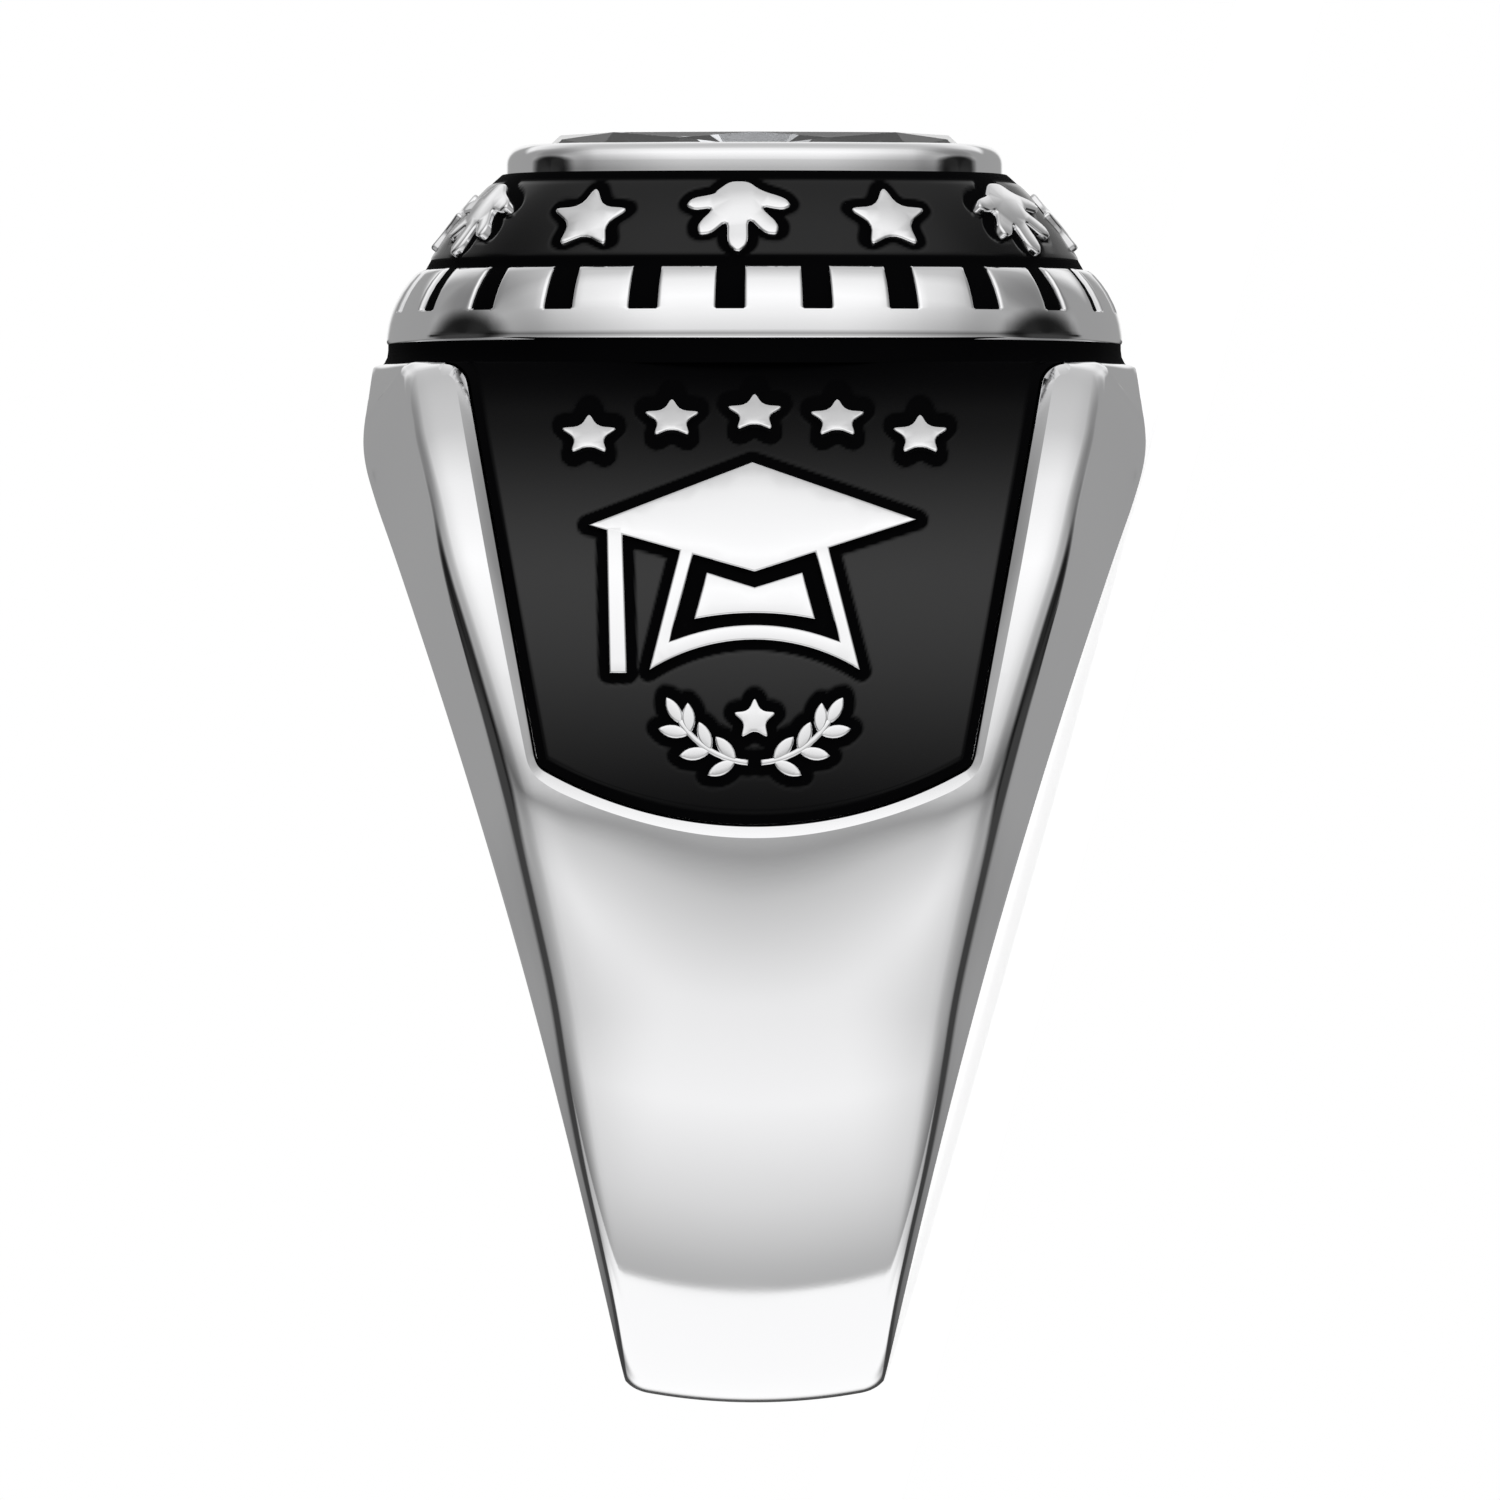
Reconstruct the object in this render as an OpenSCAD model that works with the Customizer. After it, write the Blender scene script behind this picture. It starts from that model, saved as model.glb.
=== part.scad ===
// A class ring, cast in silver with black enamel and a clear stone.
// The shapes are drawn with the finger hole's centre at the origin, the finger
// along Y and the crown up Z. Then the ring is laid on its side, as it rests.

/* [Finger hole] */
// Diameter of the finger hole
hole_d = 19.4; // [18:0.1:20.6]

/* [Shank] */
// Thickness of the metal at the palm
palm_t = 1.7; // [1.4:0.1:2.4]
// Thickness of the metal at the sides
side_t = 2.6; // [2.3:0.1:3]
// Width at the palm
palm_w = 5.65; // [4.5:0.05:7]
// Rounding of the palm's edges
palm_round = 0.65; // [0.3:0.05:0.8]
// Width across the shoulders
shoulder_w = 16.8; // [16.6:0.1:18]
// Rounding of the shoulders' widest point
shoulder_round = 3.3; // [2:0.1:4]
// Height of the shoulders' top over the finger hole
bridge_t = 1.4; // [1.1:0.1:2]
// Depth of the widest point below the shoulders' top
shoulder_drop = 1.7; // [1:0.1:2.5]
// Lean of the shoulders above the widest point, in degrees
shoulder_lean = 6; // [2:1:10]
// How far the flanks curve in between shoulder and palm
flank_sag = 0.4; // [0.1:0.05:0.8]
// Radius of the circle where the flanks' bevel starts
bevel_r = 11.55; // [11.2:0.05:12]
// Depth of that circle's centre below the outer curve's centre
bevel_low = 1.67; // [1:0.05:2.2]
// Rise of the bevel for each millimetre towards the outer face
bevel_slope = 0.5; // [0.3:0.05:0.7]

/* [Shoulder panels] */
// Width of the panel at its top
panel_top_w = 12.4; // [11:0.1:12.8]
// Width of the panel at its lower corners
panel_low_w = 9.2; // [8:0.1:9.8]
// Height of the panel's lower corners over the hole's centre
panel_corner_z = 2.45; // [1.8:0.05:3]
// Depth of the lower edge's curve below the corners
panel_bow = 1.26; // [0.6:0.02:1.6]
// Depth of the panel's floor
panel_depth = 0.5; // [0.35:0.05:0.7]

/* [Crown] */
// Length of the crown along the finger
crown_l = 16; // [15.6:0.1:16.4]
// Width of the crown across the finger
crown_w = 14; // [13.6:0.1:14.4]
// Radius of the crown's long sides
side_r = 12.8; // [12:0.1:15]
// Radius of the crown's ends
end_r = 9.7; // [9.4:0.1:10.5]
// Radius of the crown's corners
corner_r = 5.3; // [5.1:0.1:5.6]
// Height of the groove under the skirt
groove_h = 0.46; // [0.3:0.02:0.6]
// Depth of the groove under the skirt
groove_d = 0.45; // [0.3:0.05:0.7]
// Height of the skirt, teeth included
skirt_h = 1.63; // [1.4:0.01:1.8]
// Inward lean of the skirt at the tops of its teeth
skirt_lean = 0.72; // [0.5:0.01:0.9]
// Number of slots around the skirt
slot_count = 25; // [20:1:28]
// Width of a slot
slot_w = 0.6; // [0.4:0.05:0.8]
// Height of a slot
slot_h = 0.93; // [0.6:0.01:1.1]
// Place of the first slot, along the skirt from the middle of the side
slot_start = -0.52; // [-0.9:0.02:0.9]
// Height of the field between the teeth and the rim
field_h = 2.07; // [1.9:0.01:2.3]
// Inward lean of the field between the teeth and the rim
field_lean = 1.66; // [1.4:0.02:1.9]
// Bulge of the field's arc
field_bulge = 0.12; // [0.05:0.01:0.25]
// Depth of the field and the slots below the raised work
field_d = 0.35; // [0.25:0.05:0.5]

/* [Bezel and stone] */
// Step from the field in to the rim
rim_step = 0.23; // [0.1:0.01:0.4]
// Height of the rim
rim_h = 0.63; // [0.55:0.01:0.9]
// Rounding of the rim's outer edge
rim_round = 0.4; // [0.2:0.05:0.5]
// Width of the rim's lip
lip_w = 0.8; // [0.6:0.05:1]
// Height of the stone's table over the rim
table_up = 0.24; // [0.15:0.01:0.4]
// Height of the stone's crown facets
stone_crown_h = 0.32; // [0.24:0.02:0.5]
// Inward lean of the stone's crown facets
stone_crown_in = 0.34; // [0.2:0.02:0.6]
// Thickness of the stone's girdle
girdle_t = 0.1; // [0.06:0.01:0.2]
// Depth of the stone below its girdle
pavilion_h = 2.9; // [2.4:0.1:3.2]
// Width of the ledge that the stone rests on
seat_w = 0.5; // [0.35:0.05:0.7]

/* [Raised work] */
// Number of ornaments around the crown, stars and palmettes in turn
crown_ornaments = 12; // [8:2:12]
// Place of the first star, along the field from the middle of the side
star_start = 2.9; // [2:0.05:3.2]
// Radius of a crown star's points
star_r = 0.95; // [0.7:0.01:1]
// Length of a palmette's middle leaf
palmette_l = 1.6; // [1.2:0.05:1.75]
// Width of the cap's board
board_w = 7.1; // [6:0.1:7.4]
// Height of the cap's board
board_h = 2.48; // [2:0.02:2.6]
// Depth of the board's middle below the shoulders' top
board_drop = 3.3; // [3.1:0.05:3.5]
// Width of the cap's band at its hem
cap_w = 4.5; // [4:0.1:5]
// Depth of the hem's tips below the board's middle
cap_h = 3.35; // [3:0.05:3.5]
// Width of the band
band_w = 0.3; // [0.2:0.02:0.36]
// Length of the tassel
tassel_l = 3.4; // [2:0.1:3.6]
// Width of the tassel
tassel_w = 0.35; // [0.2:0.05:0.5]
// Radius of a panel star's points
panel_star_r = 0.68; // [0.5:0.02:0.72]
// Depth of the middle star below the shoulders' top
arch_drop = 1.1; // [1:0.05:1.2]
// Radius of the wreath's stems
wreath_r = 1.85; // [1.6:0.05:1.9]
// Depth of the wreath's centre below the hem's tips
wreath_drop = 0.1; // [0:0.05:0.3]
// Width of the stems
stem_w = 0.14; // [0.1:0.02:0.2]
// Length of a laurel leaf
leaf_l = 0.7; // [0.6:0.05:0.75]
// Width of a laurel leaf
leaf_w = 0.3; // [0.2:0.02:0.34]

/* [Enamel] */
// Depth of the enamel's face below the raised work
enamel_low = 0.1; // [0.05:0.01:0.15]
// Clearance between a fill or the stone and the metal
clear = 0.03; // [0.02:0.01:0.05]

/* [Hidden] */
$fn = 96;
far = 30;

hole_r = hole_d / 2;
palm_z = hole_r + palm_t;
side_x = hole_r + side_t;
outer_r = (palm_z + side_x * side_x / palm_z) / 2;
outer_up = outer_r - palm_z;
ledge_z = hole_r + bridge_t;
shoulder_z = ledge_z - shoulder_drop;

// Points of an arc about c, the centre of radius r
function arc(c, r, from, to, steps) = [for (i = [0:steps])
    let (turn = from + (to - from) * i / steps) c + r * [cos(turn), sin(turn)]];
// Radius of an arc from half its chord and its rise
function bow_r(half, rise) = (half * half + rise * rise) / (2 * rise);
// Points of a level arc from [half, z] to [-half, z], whose middle is higher by rise
function bow(half, z, rise) = let (r = bow_r(half, rise))
    arc([0, z + rise - r], r, 90 - asin(half / r), 90 + asin(half / r), 8);
function backwards(p) = [for (i = [len(p) - 1:-1:0]) p[i]];
function mirrored(p) = [for (q = backwards(p)) [-q[0], q[1]]];
// An outline, counter-clockwise, made larger by g all round
function facing(a, b) = [b[1] - a[1], a[0] - b[0]] / norm(b - a);
function grown(p, g) = [for (i = [0:len(p) - 1])
    let (before = p[(i + len(p) - 1) % len(p)], after = p[(i + 1) % len(p)],
        m = facing(before, p[i]), n = facing(p[i], after))
    p[i] + (m + n) * g / (1 + m * n)];
// An outline turned about the origin and moved to a place
function placed(p, turn, at) = [for (q = p)
    at + [q[0] * cos(turn) - q[1] * sin(turn), q[0] * sin(turn) + q[1] * cos(turn)]];

// The shank seen from the side, as [y, z]: a round at the palm, one at the shoulder, and
// the line that touches both, which the ring lies on. The flank curves in from that line.
shoulder_c = [shoulder_w / 2 - shoulder_round, shoulder_z];
palm_c = [palm_w / 2 - palm_round, palm_round - palm_z];
between = shoulder_c - palm_c;
flank_tilt = atan2(between[0], between[1]) + asin((shoulder_round - palm_round) / norm(between));
flank_out = [cos(flank_tilt), -sin(flank_tilt)];
shoulder_touch = shoulder_c + shoulder_round * flank_out;
palm_touch = palm_c + palm_round * flank_out;
flank_half = norm(shoulder_touch - palm_touch) / 2;
flank_r = bow_r(flank_half, flank_sag);
flank_c = (shoulder_touch + palm_touch) / 2 + (flank_r - flank_sag) * flank_out;
flank_turn = asin(flank_half / flank_r);
lean_from = shoulder_c + shoulder_round * [cos(shoulder_lean), sin(shoulder_lean)];
function inner_points(p) = [for (i = [1:len(p) - 2]) p[i]];
SHANK_SIDE = concat(
    arc(palm_c, palm_round, -90, -flank_tilt, 5),
    inner_points(arc(flank_c, flank_r, 180 - flank_tilt + flank_turn,
        180 - flank_tilt - flank_turn, 12)),
    arc(shoulder_c, shoulder_round, -flank_tilt, shoulder_lean, 5),
    [lean_from + (ledge_z - lean_from[1]) * [-tan(shoulder_lean), 1]]
);
bevel_z = outer_up - bevel_low;
bevel_y = palm_touch[0] + (bevel_z - palm_touch[1]) * tan(flank_tilt);

// Levels of the crown
skirt_z = ledge_z + groove_h;
tooth_z = skirt_z + skirt_h;
slot_z = tooth_z - slot_h;
rim_z = tooth_z + field_h;
top_z = rim_z + rim_h;
table_z = top_z + table_up;
girdle_z = table_z - stone_crown_h - girdle_t;
root_z = ledge_z - 0.6;

// Insets from the skirt's outline
skirt_r = bow_r(skirt_h, skirt_lean);
field_in = skirt_lean + field_lean;
field_slope = atan2(field_lean, field_h);
rim_in = field_in + rim_step;
lip_in = rim_in + lip_w;
seat_in = lip_in + seat_w;
root_in = groove_d + 0.9;
seat_z = girdle_z - pavilion_h * seat_w / (crown_w / 2 - lip_in) - 2 * clear;
pocket_z = girdle_z - pavilion_h - seat_w / 2;

// Outer edges, as [inset, height], with a further inset d
function skirt_edge(d) = [for (turn = [0, 0.5, 1] * asin(skirt_h / skirt_r))
    [d + skirt_r * (1 - cos(turn)), skirt_z + skirt_r * sin(turn)]];
function field_edge(d) = [
    [d + skirt_lean + field_lean / 2 - field_bulge * cos(field_slope),
        tooth_z + field_h / 2 + field_bulge * sin(field_slope)],
    [d + field_in, rim_z]
];
rim_edge = [
    [rim_in, rim_z],
    [rim_in, top_z - rim_round],
    [rim_in + 0.3 * rim_round, top_z - 0.3 * rim_round],
    [rim_in + rim_round, top_z]
];
root_edge = [[root_in, root_z], [root_in, ledge_z], [groove_d, ledge_z], [groove_d, skirt_z]];
function upright(inset, from, to) = [[inset, from], [inset, to]];

// The crown's outline from above is a cushion of eight arcs: two long sides, two ends
// and four corners, whose centres lie where they would touch both neighbours
side_c = crown_w / 2 - side_r;
end_c = crown_l / 2 - end_r;
from_side = side_r - corner_r;
from_end = end_r - corner_r;
centres = norm([side_c, end_c]);
along = (from_side * from_side - from_end * from_end + centres * centres) / (2 * centres);
beside = sqrt(from_side * from_side - along * along);
toward = [-side_c, end_c] / centres;
corner_c = [side_c, 0] + along * toward + beside * [-toward[1], toward[0]];
side_turn = atan2(corner_c[1], corner_c[0] - side_c);
end_turn = atan2(corner_c[1] - end_c, corner_c[0]);

// The arcs in turn from the middle of a long side: [centre x, centre y, radius, from, to]
ARCS = [
    [side_c, 0, side_r, 0, side_turn],
    [corner_c[0], corner_c[1], corner_r, side_turn, end_turn],
    [0, end_c, end_r, end_turn, 180 - end_turn],
    [-corner_c[0], corner_c[1], corner_r, 180 - end_turn, 180 - side_turn],
    [-side_c, 0, side_r, 180 - side_turn, 180 + side_turn],
    [-corner_c[0], -corner_c[1], corner_r, 180 + side_turn, 180 + end_turn],
    [0, -end_c, end_r, 180 + end_turn, 360 - end_turn],
    [corner_c[0], -corner_c[1], corner_r, 360 - end_turn, 360 - side_turn],
    [side_c, 0, side_r, 360 - side_turn, 360]
];
function arc_length(a, inset) = (a[2] - inset) * (a[4] - a[3]) * PI / 180;
function length_from(i, inset) = i == len(ARCS) ? 0
    : arc_length(ARCS[i], inset) + length_from(i + 1, inset);
function on_arc(a, inset, s) = let (turn = a[3] + s / (a[2] - inset) * 180 / PI)
    [a[0] + (a[2] - inset) * cos(turn), a[1] + (a[2] - inset) * sin(turn), turn];
function walked(s, inset, i) = let (here = arc_length(ARCS[i], inset))
    (i == len(ARCS) - 1 || s <= here) ? on_arc(ARCS[i], inset, s) : walked(s - here, inset, i + 1);
// A place at a share of the way around the outline moved in by inset, with a further
// length s: [x, y, the angle that it faces]
function around(share, inset, s = 0) = let (whole = length_from(0, inset), t = share + s / whole)
    walked(whole * (t - floor(t)), inset, 0);

// Lays the ring on its flank, with that touching line on the floor
rest_up = shoulder_c * flank_out + shoulder_round;
top_reach = table_z * cos(flank_tilt)
    + (crown_l / 2 - lip_in - clear - stone_crown_in) * sin(flank_tilt);
palm_reach = palm_round - palm_c[1] * cos(flank_tilt) + palm_c[0] * sin(flank_tilt);

module laid()
    translate([(palm_reach - top_reach) / 2, 0, rest_up])
        rotate([0, -flank_tilt, 0])
            rotate([-90, 0, -90])
                children();

// Carries an outline of [y, z] along X
module sideways(from, outline)
    translate([from, 0, 0])
        rotate([90, 0, 90])
            linear_extrude(far - from)
                polygon(outline);

module barrel(r)
    translate([0, 0, outer_up])
        rotate([90, 0, 0])
            cylinder(r = r, h = far, center = true);

module both_shoulders()
    for (turn = [0, 180])
        rotate([0, 0, turn])
            children();

// A solid of the cushion outline whose walls follow an edge of [inset, height]. Where the
// sides meet the ends it is cut off straight, and the round corners stand over the cuts.
// They stand out by a hair, so that their arcs cross their neighbours'.
hair = 0.03;
corner_turn = (side_turn + end_turn) / 2;
corner_half = (end_turn - side_turn) / 2;
corner_out = corner_c + hair * [cos(corner_turn), sin(corner_turn)];
cut_off = corner_c * [cos(corner_turn), sin(corner_turn)];

module revolved(x, y, r, edge)
    translate([x, y, 0])
        rotate_extrude()
            polygon(concat(
                [[0, edge[0][1]]],
                [for (p = edge) [r - p[0], p[1]]],
                [[0, edge[len(edge) - 1][1]]]
            ));

module straight(turn, edge) {
    half = [for (p = edge) [cut_off + (corner_r - p[0]) * cos(corner_half), p[1]]];
    rotate([90, 0, turn])
        linear_extrude(2 * far, center = true)
            polygon(concat(half, mirrored(half)));
}

module cushion(edge) {
    intersection() {
        revolved(side_c, 0, side_r, edge);
        revolved(-side_c, 0, side_r, edge);
        revolved(0, end_c, end_r, edge);
        revolved(0, -end_c, end_r, edge);
        straight(corner_turn, edge);
        straight(-corner_turn, edge);
    }
    for (x = [-1, 1], y = [-1, 1])
        revolved(x * corner_out[0], y * corner_out[1], corner_r, edge);
}

// Outlines of the raised work, drawn about their own middles
function star(r) = [for (i = [9:-1:0])
    (i % 2 == 0 ? r : 0.46 * r) * [sin(36 * i), cos(36 * i)]];

// Five leaves that fan down from a bud, as [angle from the middle leaf, length]
PALMETTE = placed(concat(
    [for (i = [-2:2], q = [[-19, 0.45], [-10, 0.86], [0, 1], [10, 0.86]])
        (1 - 0.13 * abs(i)) * palmette_l * q[1] * [sin(38 * i + q[0]), -cos(38 * i + q[0])]],
    [0.3 * palmette_l * [1, 0.3], 0.25 * palmette_l * [0.5, 1], 0.25 * palmette_l * [-0.5, 1],
        0.3 * palmette_l * [-1, 0.3]]
), 0, [0, 0.4 * palmette_l]);

// Two pointed leaves from one place on a stem, and a single one
function leaf_side(turn, side) = [for (q = [[0.3, 0.42], [0.6, 0.5]])
    [side * leaf_w * q[1] * cos(turn) + leaf_l * q[0] * sin(turn),
        leaf_l * q[0] * cos(turn) - side * leaf_w * q[1] * sin(turn)]];
function half_sprig(turn) = concat(leaf_side(turn, 1), [leaf_l * [sin(turn), cos(turn)]],
    [leaf_side(turn, -1)[1]]);
SPRIG = concat([[0, 0]], half_sprig(38), [[0, 0.42 * leaf_l]], mirrored(half_sprig(38)));
LEAF = concat([[0, 0]], leaf_side(0, 1), [[0, leaf_l]], backwards(leaf_side(0, -1)));

// The academic cap: its board, tassel, band and the piece above the band
board_z = ledge_z - board_drop;
hem_z = board_z - cap_h;
hem_y = cap_w / 2;
brow_y = 0.32 * cap_w;
BOARD = [[-board_w / 2, board_z], [0, board_z - board_h / 2], [board_w / 2, board_z],
    [0, board_z + board_h / 2]];
TASSEL = placed([[-0.5 * tassel_w, 0], [-0.3 * tassel_w, -tassel_l],
    [0.8 * tassel_w, -tassel_l], [0.5 * tassel_w, 0]], 0, [-0.42 * board_w, board_z]);
LEG_TOP = [[brow_y + 0.4 * band_w, board_z - 0.33 * board_h],
    [brow_y - 0.6 * band_w, board_z - 0.37 * board_h]];
BAND = concat(
    backwards(bow(hem_y, hem_z, 2.2 * band_w)),
    LEG_TOP,
    bow(hem_y - 1.5 * band_w, hem_z + 2.1 * band_w, 1.2 * band_w),
    mirrored(LEG_TOP)
);
BROW = concat(
    backwards(bow(0.9 * brow_y, hem_z + 4 * band_w, 0.45 * band_w)),
    bow(0.68 * brow_y, board_z - 0.44 * board_h, -0.14 * board_h)
);

// The wreath: two curved stems with sprigs of leaves, around a small star
wreath_c = [0, hem_z - wreath_drop];
stem_from = 4;
stem_to = 60;
function on_wreath(turn, r = wreath_r) = wreath_c + r * [sin(turn), -cos(turn)];
STEM = concat(
    arc(wreath_c, wreath_r + stem_w / 2, stem_from - 90, stem_to - 90, 8),
    arc(wreath_c, wreath_r - stem_w / 2, stem_to - 90, stem_from - 90, 8)
);
BRANCH = concat(
    [STEM, placed(LEAF, stem_to - 90, on_wreath(stem_to - stem_from))],
    [for (turn = [12, 30, 48]) placed(SPRIG, turn - 90, on_wreath(turn))]
);

// All of a panel's raised work, as outlines of [y, z]
PANEL_WORK = concat(
    [BOARD, TASSEL, BAND, BROW],
    [for (i = [-2:2])
        placed(star(panel_star_r), 0,
            [2.6 * panel_star_r * i, ledge_z - arch_drop - 0.12 * i * i])],
    [placed(star(0.75 * panel_star_r), 0, on_wreath(0, wreath_r / 2))],
    BRANCH,
    [for (p = BRANCH) mirrored(p)]
);

// A panel's outline as [y, z], up to a height
panel_lean = (panel_top_w - panel_low_w) / 2 / (ledge_z - panel_corner_z);
function panel_outline(top) = concat(
    backwards(bow(panel_low_w / 2, panel_corner_z, -panel_bow)),
    [for (side = [1, -1]) [side * (panel_top_w / 2 + (top - ledge_z) * panel_lean), top]]
);

// A cone whose skin is the bevel along a flank's outer edge
module flank_cone()
    translate([0, bevel_y, bevel_z])
        rotate([-90 - flank_tilt, 0, 0])
            translate([0, 0, -far])
                cylinder(
                    h = far + 1,
                    r1 = bevel_r + far / bevel_slope,
                    r2 = bevel_r - 1 / bevel_slope
                );

module shank()
    intersection() {
        barrel(outer_r);
        sideways(-far, concat(SHANK_SIDE, mirrored(SHANK_SIDE)));
        flank_cone();
        rotate([0, 0, 180])
            flank_cone();
    }

// The sunk floor of a panel, with its work standing on it
module panel_pocket()
    difference() {
        sideways(0, panel_outline(ledge_z + 1));
        barrel(outer_r - panel_depth);
    }

module panel_work()
    for (outline = PANEL_WORK)
        intersection() {
            sideways(0, outline);
            difference() {
                barrel(outer_r);
                barrel(outer_r - 1.5 * panel_depth);
            }
        }

// The boxes between the teeth, smaller by g
slot_reach = field_d + skirt_lean;
module slots(g)
    for (i = [0:slot_count - 1]) {
        p = around(i / slot_count, field_d, slot_start);
        translate([p[0], p[1], slot_z + g])
            rotate([0, 0, p[2]])
                translate([-slot_reach, g - slot_w / 2, 0])
                    cube([2 * slot_reach, slot_w - 2 * g, 2 * slot_h]);
    }

// Stars and palmettes as prisms that stand square on the field, larger by g
module crown_work(g)
    for (i = [0:crown_ornaments - 1]) {
        p = around(i / crown_ornaments, skirt_lean + field_lean / 2, star_start);
        translate([p[0], p[1], tooth_z + field_h / 2])
            rotate([90 - field_slope, 0, 90 + p[2]])
                translate([0, 0, -2 * field_d])
                    linear_extrude(4 * field_d)
                        polygon(grown(i % 2 == 0 ? star(star_r) : PALMETTE, g));
    }

module crown() {
    cushion(concat(root_edge, skirt_edge(field_d), field_edge(field_d), rim_edge));
    difference() {
        cushion(skirt_edge(0));
        slots(0);
    }
    intersection() {
        cushion(concat([[skirt_lean, tooth_z]], field_edge(0)));
        crown_work(0);
    }
}

module ring_body()
    laid()
        color("#cfd2d6")
            difference() {
                union() {
                    difference() {
                        shank();
                        both_shoulders()
                            panel_pocket();
                    }
                    both_shoulders()
                        panel_work();
                    crown();
                }
                rotate([90, 0, 0])
                    cylinder(r = hole_r, h = 2 * far, center = true);
                cushion(upright(lip_in, seat_z, far));
                cushion(upright(seat_in, pocket_z, far));
            }

// The stone's corners, in rings from the table down: [count, half a step on, inset, height]
girdle_in = lip_in + clear;
STONE_RINGS = [
    [8, 0, girdle_in + stone_crown_in, table_z],
    [8, 1, girdle_in + stone_crown_in / 2, table_z - 0.4 * stone_crown_h],
    [16, 0, girdle_in, table_z - stone_crown_h],
    [16, 0, girdle_in, girdle_z]
];
culet = [0, 0, girdle_z - pavilion_h];
function stone_ring(r) = [for (i = [0:r[0] - 1])
    let (p = around((i + r[1] / 2) / r[0], r[2])) [p[0], p[1], r[3]]];
// Where the long facets from the culet end, on the way to every other girdle corner
low_share = 0.7;
stone_low = [for (i = [0:7]) let (p = stone_ring(STONE_RINGS[3])[2 * i + 1])
    [p[0] * (1 - low_share), p[1] * (1 - low_share), girdle_z - pavilion_h * (low_share + 0.03)]];

module stone()
    laid()
        color("#dde6f0")
            polyhedron(
                points = concat([for (r = STONE_RINGS) each stone_ring(r)], stone_low, [culet]),
                faces = concat(
                    [[7, 6, 5, 4, 3, 2, 1, 0]],
                    [for (i = [0:7]) let (
                        table = i, next_table = (i + 1) % 8,
                        star = 8 + i, last_star = 8 + (i + 7) % 8,
                        top = 16 + 2 * i, top_side = top + 1, next_top = 16 + (2 * i + 2) % 16,
                        low = 48 + i, last_low = 48 + (i + 7) % 8
                    ) each [
                        [table, next_table, star],
                        [table, star, top],
                        [table, top, last_star],
                        [star, top_side, top],
                        [star, next_top, top_side],
                        [top, top_side, top_side + 16, top + 16],
                        [top_side, next_top, next_top + 16, top_side + 16],
                        [top + 16, top_side + 16, low],
                        [top_side + 16, next_top + 16, low],
                        [top + 16, low, 56],
                        [top + 16, 56, last_low]
                    ]]
                )
            );

module level_slab(from, to)
    translate([-far / 2, -far / 2, from])
        cube([far, far, to - from]);

module crown_enamel()
    laid()
        color("#101114")
            difference() {
                intersection() {
                    cushion(concat(skirt_edge(enamel_low), field_edge(enamel_low)));
                    union() {
                        level_slab(tooth_z + clear, rim_z - clear);
                        slots(clear);
                    }
                }
                cushion(concat(skirt_edge(field_d - clear), field_edge(field_d - clear),
                    upright(rim_in, rim_z, far)));
                crown_work(clear);
            }

module neck_enamel()
    laid()
        color("#16171a")
            intersection() {
                difference() {
                    cushion(upright(enamel_low, 0, top_z));
                    cushion(upright(groove_d - clear, 0, top_z));
                }
                level_slab(ledge_z + clear, skirt_z - clear);
            }

module panel_enamel()
    color("#101114")
        difference() {
            intersection() {
                barrel(outer_r - enamel_low);
                sideways(0, grown(panel_outline(ledge_z), -clear));
            }
            barrel(outer_r - panel_depth + clear);
            for (outline = PANEL_WORK)
                sideways(0, grown(outline, clear));
        }

module panel_enamel_left()
    laid()
        rotate([0, 0, 180])
            panel_enamel();

module panel_enamel_right()
    laid()
        panel_enamel();

ring_body();
stone();
crown_enamel();
neck_enamel();
panel_enamel_left();
panel_enamel_right();
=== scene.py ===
# A class ring in silver and black enamel with a clear stone, lying on one flank.
import math

import bpy
import bmesh
import numpy as np
from mathutils import Matrix, Vector
from mathutils.geometry import delaunay_2d_cdt


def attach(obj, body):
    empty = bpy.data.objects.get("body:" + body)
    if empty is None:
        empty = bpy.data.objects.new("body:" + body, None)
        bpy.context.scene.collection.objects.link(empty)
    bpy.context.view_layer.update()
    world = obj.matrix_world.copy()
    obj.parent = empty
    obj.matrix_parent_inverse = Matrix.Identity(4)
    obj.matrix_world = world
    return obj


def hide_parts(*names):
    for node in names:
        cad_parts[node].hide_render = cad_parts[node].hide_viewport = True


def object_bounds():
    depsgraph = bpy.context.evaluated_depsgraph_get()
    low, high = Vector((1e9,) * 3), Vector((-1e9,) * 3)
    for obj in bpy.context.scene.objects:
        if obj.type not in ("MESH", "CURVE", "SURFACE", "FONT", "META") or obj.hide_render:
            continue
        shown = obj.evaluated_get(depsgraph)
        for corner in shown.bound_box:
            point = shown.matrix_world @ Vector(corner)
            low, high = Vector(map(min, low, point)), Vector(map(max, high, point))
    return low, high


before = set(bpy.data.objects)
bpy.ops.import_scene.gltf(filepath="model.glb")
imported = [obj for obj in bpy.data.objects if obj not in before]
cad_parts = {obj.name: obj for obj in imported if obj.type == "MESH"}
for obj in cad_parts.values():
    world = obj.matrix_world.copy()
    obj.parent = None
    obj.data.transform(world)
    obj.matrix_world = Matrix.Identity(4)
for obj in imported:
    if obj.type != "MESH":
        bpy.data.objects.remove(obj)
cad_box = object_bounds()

# Shank
# The ring is one casting in sterling silver, whose shank is a band that widens from the
# palm to the shoulders. Sizes are in millimetres about the finger hole's centre, with the
# finger along Y and the crown up Z, until LAID turns the ring on to its flank.
HOLE_R = 9.7
PALM_Z = 11.4
SIDE_X = 12.3
LEDGE_Z = 11.1
OUTER_R = (PALM_Z + SIDE_X ** 2 / PALM_Z) / 2
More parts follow.
